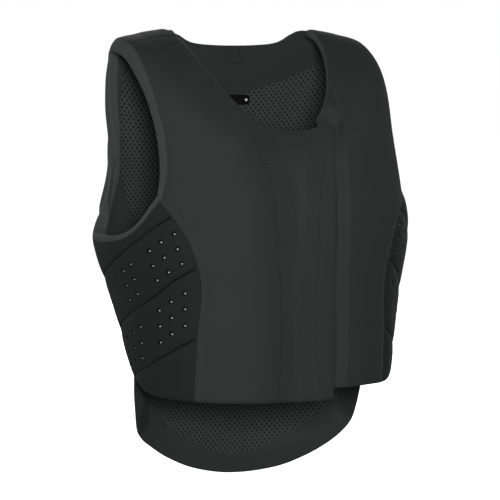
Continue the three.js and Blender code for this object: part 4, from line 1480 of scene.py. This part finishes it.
class BackPad(Pad):
    """Thick back from the straps to the rounded tail, hollowed a little under its lining."""

    name = "back_pad"
    node = "back_protector"
    finish = BACK_KNIT
    fill = 0.9
    lip_radius = 2.0
    facing = 0.9
    bed = 2.5
    bed_slope = 5
    swell_reach = 62.0
    swell_rings = (4.75, 5.5)
    corner_ease = (3.0, 30)
    corner_ring = 4.6
    corner_height = 0.35
    strap_rings = (5.5, 8.2)
    unevenness = 0.9
    even_rim = 30
    seam_row = 3.0
    seam_ends = (4, 4)
    # Darker along the sides of the tail: how much, and where it fades
    tail_side_dark = 0.45
    tail_side_rim = (16, 24)
    cells = (90, 78, 96)
    strap_columns, middle_columns = 24, 80
    neck_angles = (90, 110, 135, 180, 225, 250, 270)
    fold_rows = [(129, 1.3), (129.5, 0.8), (130, 0.42)]
    fold_shape = (0.8, 1.1)
    wrinkle_rings = np.linspace(0.63, 0.43, 5)
    wrinkle_shape = (2.0, 1.5)

    def __init__(self) -> None:
        """Traces the edges of both halves."""
        self.tail_sides = both_halves(TAIL_SIDE)
        self.rears = both_halves(REAR_RISE)
        self.armholes = both_halves(ARMHOLE_BACK)
        self.shoulders = both_halves(SHOULDER)
        self.loops = [armhole_loop(1), armhole_loop(-1)]
        self.neck = Route.through([(angle, NECK) for angle in self.neck_angles])
        self.tail = Route.through([*TAIL_LEFT, TAIL_MIDDLE, *reversed(on_back(TAIL_RIGHT))])
        self.folds = self.tail_folds()

    def tail_folds(self) -> list[Channel]:
        """Inner seams of the sides of the tail, and short uneven wrinkles that run in from them."""
        folds = [Channel(route, *self.fold_shape) for route in both_halves(self.fold_rows)]
        for k, ring in enumerate(self.wrinkle_rings):
            rows = [(130.5, ring), (135, ring - 0.012 * (k % 2)), (142 - 1.5 * (k % 3), ring - 0.03)]
            folds += [Channel(route, *self.wrinkle_shape) for route in both_halves(rows)]
        return folds

    def patch(self) -> Patch:
        """Rows across from the wearer's left to the right."""
        edges = []
        for parts in zip(self.tail_sides, self.rears, self.armholes):
            lengths = np.cumsum([0] + [part.length for part in parts])
            edges.append((Route.join(*parts), stations(lengths, self.cells)))
        top = Route.join(self.shoulders[0], self.neck, Route(self.shoulders[1].places[::-1]))
        strap = self.shoulders[0].length

        def columns(length: Array) -> Array:
            """Columns with lip stops at both ends and one where the strap meets the neck."""
            rows = (len(length), 1)
            half = np.concatenate([LIP_STOPS, np.linspace(LIP_STOPS[-1], strap, self.strap_columns + 1)[1:]])
            middle = strap + (length - 2 * strap) * np.linspace(0, 1, self.middle_columns + 1)[1:-1]
            return np.concatenate([np.tile(half, rows), middle, length - np.tile(half[::-1], rows)], 1)

        return Patch.between(*edges, self.tail, top, columns)

    def wall(self, angle: Array, ring: Array) -> tuple[Array, Array]:
        """Wall thinned to the straps and bevelled round the tail on both faces, bedded for the lining."""
        points = FORM.point(angle, ring)
        edges = (self.tail_sides, [self.tail], self.rears, self.armholes, self.shoulders, [self.neck])
        gaps = [np.min([route.gap(points) for route in routes], axis=0) for routes in edges]
        tail_side, tail_foot, rear, arm, shoulder, neck = gaps
        tail = np.minimum(tail_side, tail_foot)
        sewn = np.minimum(rear, shoulder)
        drop = np.max([TAIL_EDGE.thinning(tail), SEAM_EDGE.thinning(sewn), NECK_EDGE.thinning(neck),
                       armhole_drop(self.armhole_share(points), ring)], axis=0)
        free = np.min([tail, arm, neck], axis=0)
        edge = np.minimum(free, sewn)
        round_off = np.maximum(lip(free, self.lip_radius), lip(sewn, SEAM_LIP))
        side = np.minimum(rear, arm + self.swell_reach * smoothstep(*self.swell_rings, ring))
        full = SIDE_WALL + (BACK_WALL - SIDE_WALL) * smoothstep(0, self.swell_reach, side)
        full = full - dent(arm, *self.corner_ease) * dent(ring - self.corner_ring, 1, self.corner_height)
        wall = full + (STRAP_WALL - full) * smoothstep(*self.strap_rings, ring)
        covered = np.maximum(LINING_OUTLINE.depth(points), YOKE_OUTLINE.depth(points))
        inner = self.facing + (self.bed - self.facing) * smoothstep(0, self.bed_slope, covered)
        inner = inner + TAIL_INSIDE.thinning(tail_foot) + sum(fold.cut(points) for fold in self.folds)
        inner = inner - UNDERARM_ROLL.swelling(angle, ring, arm)
        outer = wall - drop + waves(points, self.unevenness) * smoothstep(0, self.even_rim, edge)
        return inner + round_off, outer - round_off

    def stitch_rows(self, row: StitchRow) -> list[tuple[Array, Array]]:
        """Stitches along the seams with the side panels."""
        beside = [beside_seam(rear, towards, self.seam_row) for rear, towards in zip(self.rears, (1, -1))]
        return [row.along(route, self.wall, *self.seam_ends) for route in beside]

    def shade(self, points: Array) -> Array:
        """Darker along the sides of the tail."""
        side = np.min([route.gap(points) for route in self.tail_sides], axis=0)
        return self.tail_side_dark * (1 - smoothstep(*self.tail_side_rim, side))


@dataclass(frozen=True)
class BackSheet:
    """Sheet on the inside of the back, cut to an outline, with pores where it is a spacer mesh."""

    name: str
    node: str
    finish: ClothFinish
    outline: Outline
    low: float
    high: float
    half_width: float
    cell: tuple[float, float]
    face: float
    back: float
    flat: tuple[float, float]
    pore_radius: float = 0.0
    pore_depth: float = 0.0
    pore_rim: float = 0.3
    plain_rim: float = 1.5
    rim_reach: float = 1.6
    edge_slope: tuple[float, float] = (3, 9)
    edge_gap: float = 0.3
    crease: float = 70.0

    def pores(self, rows: int, columns: int) -> tuple[Array, Array, Array]:
        """Which part of a pore each grid point is, for staggered pores on every other row and fourth column.

        A pore takes its centre, the points beside it on its row, and those above and below it.

        Args:
            rows: Number of rows of points.
            columns: Number of columns of points.
        Returns:
            Steps across and up from the nearest pore's centre, and whether the point belongs to it.
        """
        i, j = np.indices((rows, columns))
        on_row = i % 2 == 0
        below, above = (j - 2 * (i // 2 % 2)) % 4, (j - 2 * ((i // 2 + 1) % 2)) % 4
        across = np.where(on_row, (below + 2) % 4 - 2, 0)
        up = np.where(on_row, 0, (below == 0) * 1 - (above == 0) * 1)
        return across, up, np.where(on_row, abs(across) < 2, up != 0)

    def pierced(self, front: Array) -> tuple[Array, Array, Array, Array]:
        """Draws the points of each pore onto a circle.

        Args:
            front: Points of the sheet's face.
        Returns:
            The moved points, how far they moved across and up, and how deep each is to be sunk.
        """
        da, du, member = self.pores(*front.shape[:2])
        member = member & (self.pore_depth > 0)
        ring = np.hypot(da, du)
        scale = self.pore_radius / np.maximum(ring, TINY)
        side, rise = unit(np.gradient(front, axis=1)), unit(np.gradient(front, axis=0))
        move_a = np.where(member & (ring > 0), da * scale - da * self.cell[0], 0)
        move_u = np.where(member & (ring > 0), du * scale - du * self.cell[1], 0)
        sink = np.where(member, np.where(ring == 0, 1, self.pore_rim) * self.pore_depth, 0)
        return front + side * move_a[..., None] + rise * move_u[..., None], move_a, move_u, sink

    def trimmed(self, front: Array, normal: Array, whole: Array) -> tuple[Array, Array, Array]:
        """Keeps the quads with their centre inside the outline, and slides their rim along the form onto it.

        Args:
            front: Points of the sheet's face.
            normal: Outward directions there.
            whole: Which quads of the grid aren't collapsed.
        Returns:
            The moved points, the quads to keep, and each point's distance inside the outline.
        """
        spots = front[..., [0, 2]]
        centre = (front[:-1, :-1] + front[1:, 1:] + front[:-1, 1:] + front[1:, :-1]) / 4
        keep = whole & (self.outline.depth(centre) > 0)
        inside, foot = self.outline.nearest(spots.reshape(-1, 2))
        inside, foot = inside.reshape(spots.shape[:2]), foot.reshape(spots.shape)
        around = np.pad(keep, 1).astype(int)
        uses = around[:-1, :-1] + around[1:, :-1] + around[:-1, 1:] + around[1:, 1:]
        rim = (uses > 0) & (uses < 4) & (np.abs(inside) < self.rim_reach * max(self.cell))
        shift = np.where(rim[..., None], foot - spots, 0)
        slope = -(normal[..., 0] * shift[..., 0] + normal[..., 2] * shift[..., 1]) / normal[..., 1]
        front = front + np.stack([shift[..., 0], slope, shift[..., 1]], -1)
        return front, keep, np.where(rim, 0, inside)

    def build(self, chart: BackChart, wardrobe: Wardrobe) -> Piece:
        columns = 4 * int(self.half_width / self.cell[0] / 2)
        across = (np.arange(columns + 1) - columns / 2) * self.cell[0]
        up = np.arange(self.low, self.high, self.cell[1])
        patch = chart.patch(across, up)
        shape = patch.angle.shape
        normal = FORM.normal(patch.angle, patch.ring)
        front = FORM.offset(patch.angle, patch.ring, np.full(shape, self.face))
        front, move_a, move_u, sink = self.pierced(front)
        whole = (np.diff(patch.ring[:, 0]) > 0)[:, None] & (np.abs(np.diff(patch.angle[:-1], axis=1)) > 0)
        front, keep, inside = self.trimmed(front, normal, whole)
        thin = min(self.back, BackPad.facing - self.edge_gap)
        thick = thin + (self.back - thin) * smoothstep(*self.edge_slope, inside)
        back = front + normal * (thick - self.face)[..., None]
        front = front + normal * np.where(inside < self.plain_rim, 0, sink)[..., None]
        place = np.stack([across + move_a, up[:, None] - self.low + move_u, np.zeros(shape)], -1)
        fields = {"cloth": cloth_field(front), "painted_shade": np.zeros(shape), "chart": place * MM}
        piece = wall_mesh(self.name, front, back, keep, fields, self.crease)
        wardrobe.dress(piece, self.finish, self.node)
        return piece


def sheets() -> list[BackSheet]:
    """The perforated lining and the plain yoke above it."""
    lining = BackSheet("lining_sheet", "back_lining", LINING_KNIT, LINING_OUTLINE, low=15, high=520,
                       half_width=190, cell=(PORE_STEP[0] / 4, PORE_STEP[1] / 2), face=0.0, back=2.1,
                       flat=(0.33, 0.5), pore_radius=PORE_RADIUS, pore_depth=1.4)
    yoke = BackSheet("yoke_sheet", "neck_yoke", YOKE_KNIT, YOKE_OUTLINE, low=440, high=548, half_width=150,
                     cell=(1.8, 1.8), face=-0.5, back=2.1, flat=(0.27, 0.1))
    return [lining, yoke]


@dataclass(frozen=True)
class BackTrim:
    """Hang loop, tab and stud on the inside of the back centre."""

    loop_width: float = 18.0
    loop_height: float = 19.0
    ribbon: float = 4.5
    ribbon_wall: float = 1.2
    loop_ring: float = 8.8
    loop_gap: float = 0.9
    loop_bow: float = 1.4
    ribbon_curl: float = 0.12
    ribbon_round: float = 2.2
    least_flat: float = 0.01
    bend_steps: int = 25
    leg_steps: int = 8
    ribbon_steps: int = 9
    tab_width: float = 40.0
    tab_height: float = 12.0
    tab_wall: float = 1.6
    tab_ring: float = 6.41
    tab_gap: float = 0.7
    tab_power: float = 7
    tab_grid: tuple[int, int] = (41, 25)
    tab_lip: float = 0.7
    tab_line: float = 1.6
    tab_line_shape: tuple[float, float] = (0.25, 0.5)
    stud_radius: float = 1.7
    stud_wall: float = 1.0
    stud_left: float = 15.0
    stud_gap: float = 0.1
    stud_sides: int = 32

    @staticmethod
    def seat(ring: float, distance: float) -> tuple[Array, Array]:
        """Point on the inside of the back centre, and its axes: to the left, up and towards the wearer."""
        point = FORM.offset(np.array(BACK_CENTRE), np.array(ring), np.array(-distance))
        inward = -FORM.normal(np.array(BACK_CENTRE), np.array(ring))
        left = np.array([1.0, 0, 0])
        return point, np.stack([left, np.cross(inward, left), inward])

    def loop(self, wardrobe: Wardrobe) -> Piece:
        """Ribbon carried round a U: two straight legs and a half circle, bowed off the cloth at its foot."""
        radius = (self.loop_width - self.ribbon) / 2
        leg = self.loop_height - self.loop_width / 2
        turn = np.linspace(math.pi, math.tau, self.bend_steps)
        fall = np.linspace(0, -leg, self.leg_steps + 1)[:-1]
        path = np.concatenate([np.stack([-radius + 0 * fall, fall], -1),
                               np.stack([radius * np.cos(turn), radius * np.sin(turn) - leg], -1),
                               np.stack([radius + 0 * fall, fall[::-1]], -1)])
        along = unit(np.gradient(path, axis=0))
        side = np.stack([-along[:, 1], along[:, 0]], -1)
        wide = np.linspace(-0.5, 0.5, self.ribbon_steps)
        flat = path[:, None] + side[:, None] * (wide * self.ribbon)[:, None]
        share = np.linspace(0, 1, len(path))[:, None]
        height = self.loop_gap + self.loop_bow * np.sin(math.pi * share) ** 2
        height = height + self.ribbon_curl * np.cos(wide * math.tau)
        edge = lip((0.5 - abs(wide)) * self.ribbon, self.ribbon_wall / self.ribbon_round)
        origin, axes = self.seat(self.loop_ring, 0)
        faces = [np.concatenate([flat, np.broadcast_to(h, flat.shape[:2])[..., None]], -1) @ axes + origin
                 for h in (height + self.ribbon_wall - edge, height + edge)]
        fields = {"cloth": cloth_field(faces[0]), "painted_shade": np.zeros(flat.shape[:2])}
        piece = wall_mesh("loop_ribbon", faces[1], faces[0], fields=fields)
        wardrobe.dress(piece, RIBBON, "hang_loop")
        return piece

    def tab(self, wardrobe: Wardrobe) -> Piece:
        """Small plate: a square grid drawn to a rounded rectangle, with a rolled edge."""
        power = self.tab_power
        p, q = np.meshgrid(*(np.linspace(-1, 1, count) for count in self.tab_grid))
        reach = np.maximum(abs(p), abs(q))
        shrink = reach / np.maximum((abs(p) ** power + abs(q) ** power) ** (1 / power), TINY)
        x, z = p * shrink * self.tab_width / 2, q * shrink * self.tab_height / 2
        inside = (1 - reach) * self.tab_height / 2
        edge = lip(inside, self.tab_lip)
        frame_line = dent(inside - self.tab_line, *self.tab_line_shape)
        origin, axes = self.seat(self.tab_ring, self.tab_gap)
        top = np.stack([x, z, self.tab_wall - edge - frame_line], -1) @ axes + origin
        foot = np.stack([x, z, np.zeros_like(x)], -1) @ axes + origin
        piece = wall_mesh("yoke_tab_plate", top, foot)
        return wardrobe.dress(piece, TAB_RUBBER, "yoke_tab")

    def stud(self, wardrobe: Wardrobe) -> Piece:
        """Low dome: a profile carried round its axis."""
        sides = self.stud_sides
        profile = np.array([(0.02, 0), (0.6, 0), (1, 0), (1, 0.35), (0.95, 0.62), (0.8, 0.85), (0.5, 0.97),
                            (0.02, 1.0)])
        turn = np.linspace(0, math.tau, sides, endpoint=False)
        radius = profile[:, 0, None] * self.stud_radius
        local = np.stack([radius * np.cos(turn) + self.stud_left, radius * np.sin(turn),
                          profile[:, 1, None] * self.stud_wall + 0 * turn], -1)
        origin, axes = self.seat(self.tab_ring, self.tab_gap + self.tab_wall + self.stud_gap)
        quads = revolved_faces(len(profile), sides)
        piece = add_mesh("tab_stud_dome", (local @ axes + origin).reshape(-1, 3), quads)
        return wardrobe.dress(piece, STUD_PLASTIC, "tab_stud")


@dataclass(frozen=True)
class SoftBox:
    """Square soft light: direction in degrees, distance and size in metres, and power in watts."""

    name: str
    azimuth: float
    elevation: float
    distance: float
    size: float
    power: float


@dataclass(frozen=True)
class Studio:
    """Pale floor, soft lights and the camera at the photograph's angle, in metres."""

    azimuth: float = -25.0
    elevation: float = 6.0
    distance: float = 2.4
    aim: tuple[float, float, float] = (0.0, 0.0, -0.27)
    frame_width: float = 0.6
    rise: float = 0.01
    floor_height: float = -0.62
    floor_half: float = 9.0
    floor_glow: float = 1.0
    floor_tone: float = 0.9
    floor_roughness: float = 0.9
    sensor: float = 36.0
    ambient: float = 0.085
    boxes: tuple[SoftBox, ...] = (
        SoftBox("left_box", -122, 14, 2.0, 1.2, 8),
        SoftBox("front_box", -21, 10, 2.4, 0.55, 50),
        SoftBox("right_box", 112, 14, 2.0, 1.2, 5),
        SoftBox("back_box", 165, 15, 2.4, 1.6, 26),
    )

    def direction(self, azimuth: float, elevation: float) -> Array:
        """Direction from the object towards an azimuth and elevation in degrees."""
        a, e = math.radians(azimuth), math.radians(elevation)
        return np.array([math.sin(a) * math.cos(e), -math.cos(a) * math.cos(e), math.sin(e)])

    def place(self, thing: Piece, azimuth: float, elevation: float, distance: float) -> None:
        """Sets a camera or light at a direction and distance from the aim, facing it."""
        back = self.direction(azimuth, elevation)
        right = unit(np.cross([0, 0, 1.0], back))
        axes = np.stack([right, np.cross(back, right), back], 1)
        matrix = np.eye(4)
        matrix[:3, :3] = axes
        matrix[:3, 3] = np.array(self.aim) + back * distance
        thing.matrix_world = matrix.T.tolist()
        bpy.context.scene.collection.objects.link(thing)

    def camera(self) -> None:
        """Long lens whose frame is a set width at the aim."""
        lens = bpy.data.cameras.new("camera")
        lens.sensor_width = self.sensor
        lens.lens = self.sensor * self.distance / self.frame_width
        lens.shift_y = self.rise
        thing = bpy.data.objects.new("camera", lens)
        self.place(thing, self.azimuth, self.elevation, self.distance)
        bpy.context.scene.camera = thing

    def floor(self) -> None:
        """Plain pale floor."""
        h = self.floor_half / MM
        z = self.floor_height / MM
        corners = np.array([(-h, -h, z), (h, -h, z), (h, h, z), (-h, h, z)])
        floor = add_mesh("floor", corners, np.array([[0, 1, 2, 3]]))
        made = bpy.data.materials.new("floor")
        made.use_nodes = True
        shader = made.node_tree.nodes["Principled BSDF"]
        shader.inputs["Base Color"].default_value = (*[self.floor_tone] * 3, 1)
        shader.inputs["Roughness"].default_value = self.floor_roughness
        shader.inputs["Emission Color"].default_value = (1, 1, 1, 1)
        shader.inputs["Emission Strength"].default_value = self.floor_glow
        floor.data.materials.append(made)
        floor.visible_diffuse = False
        floor.visible_glossy = False

    def world(self) -> None:
        """White surroundings to look at, which light the vest only dimly."""
        made = bpy.data.worlds.new("studio")
        made.use_nodes = True
        tree = NodeTree(made.node_tree)
        shade = made.node_tree.nodes["Background"]
        shade.inputs["Strength"].default_value = self.ambient
        shade.inputs["Color"].default_value = (1, 1, 1, 1)
        seen = tree.add("ShaderNodeBackground")
        seen.inputs["Color"].default_value = (1, 1, 1, 1)
        mix = tree.add("ShaderNodeMixShader")
        path = tree.add("ShaderNodeLightPath")
        tree.link(path.outputs["Is Camera Ray"], mix.inputs["Fac"])
        tree.link(shade.outputs["Background"], mix.inputs[1])
        tree.link(seen.outputs["Background"], mix.inputs[2])
        tree.link(mix.outputs["Shader"], made.node_tree.nodes["World Output"].inputs["Surface"])
        bpy.context.scene.world = made

    def lights(self) -> None:
        """Soft boxes all round, unseen by the camera."""
        for box in self.boxes:
            light = bpy.data.lights.new(box.name, "AREA")
            light.size = box.size
            light.energy = box.power
            thing = bpy.data.objects.new(box.name, light)
            thing.visible_camera = False
            self.place(thing, box.azimuth, box.elevation, box.distance)

    def build(self) -> None:
        """Sets up the whole studio."""
        self.floor()
        self.world()
        self.lights()
        self.camera()
        bpy.context.scene.view_settings.view_transform = "Standard"


def main() -> None:
    """Builds the vest and the studio."""
    logging.basicConfig(level=logging.INFO, format="%(name)s %(message)s")
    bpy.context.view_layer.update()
    wardrobe = Wardrobe()
    Studio().build()
    right, left, back = RightFront(), LeftFront(), BackPad()
    for pad in (right, left, SidePanel(-1), SidePanel(1), back, Closure()):
        pad.build(wardrobe)
    row = StitchRow()
    wardrobe.dress(row.piece("front_stitches", right.stitch_rows(row) + left.stitch_rows(row)), THREAD)
    wardrobe.dress(row.piece("back_stitches", back.stitch_rows(row)), THREAD)
    chart = BackChart()
    for sheet in sheets():
        sheet.build(chart, wardrobe)
    trim = BackTrim()
    trim.loop(wardrobe)
    trim.tab(wardrobe)
    trim.stud(wardrobe)


if __name__ == "__main__":
    main()
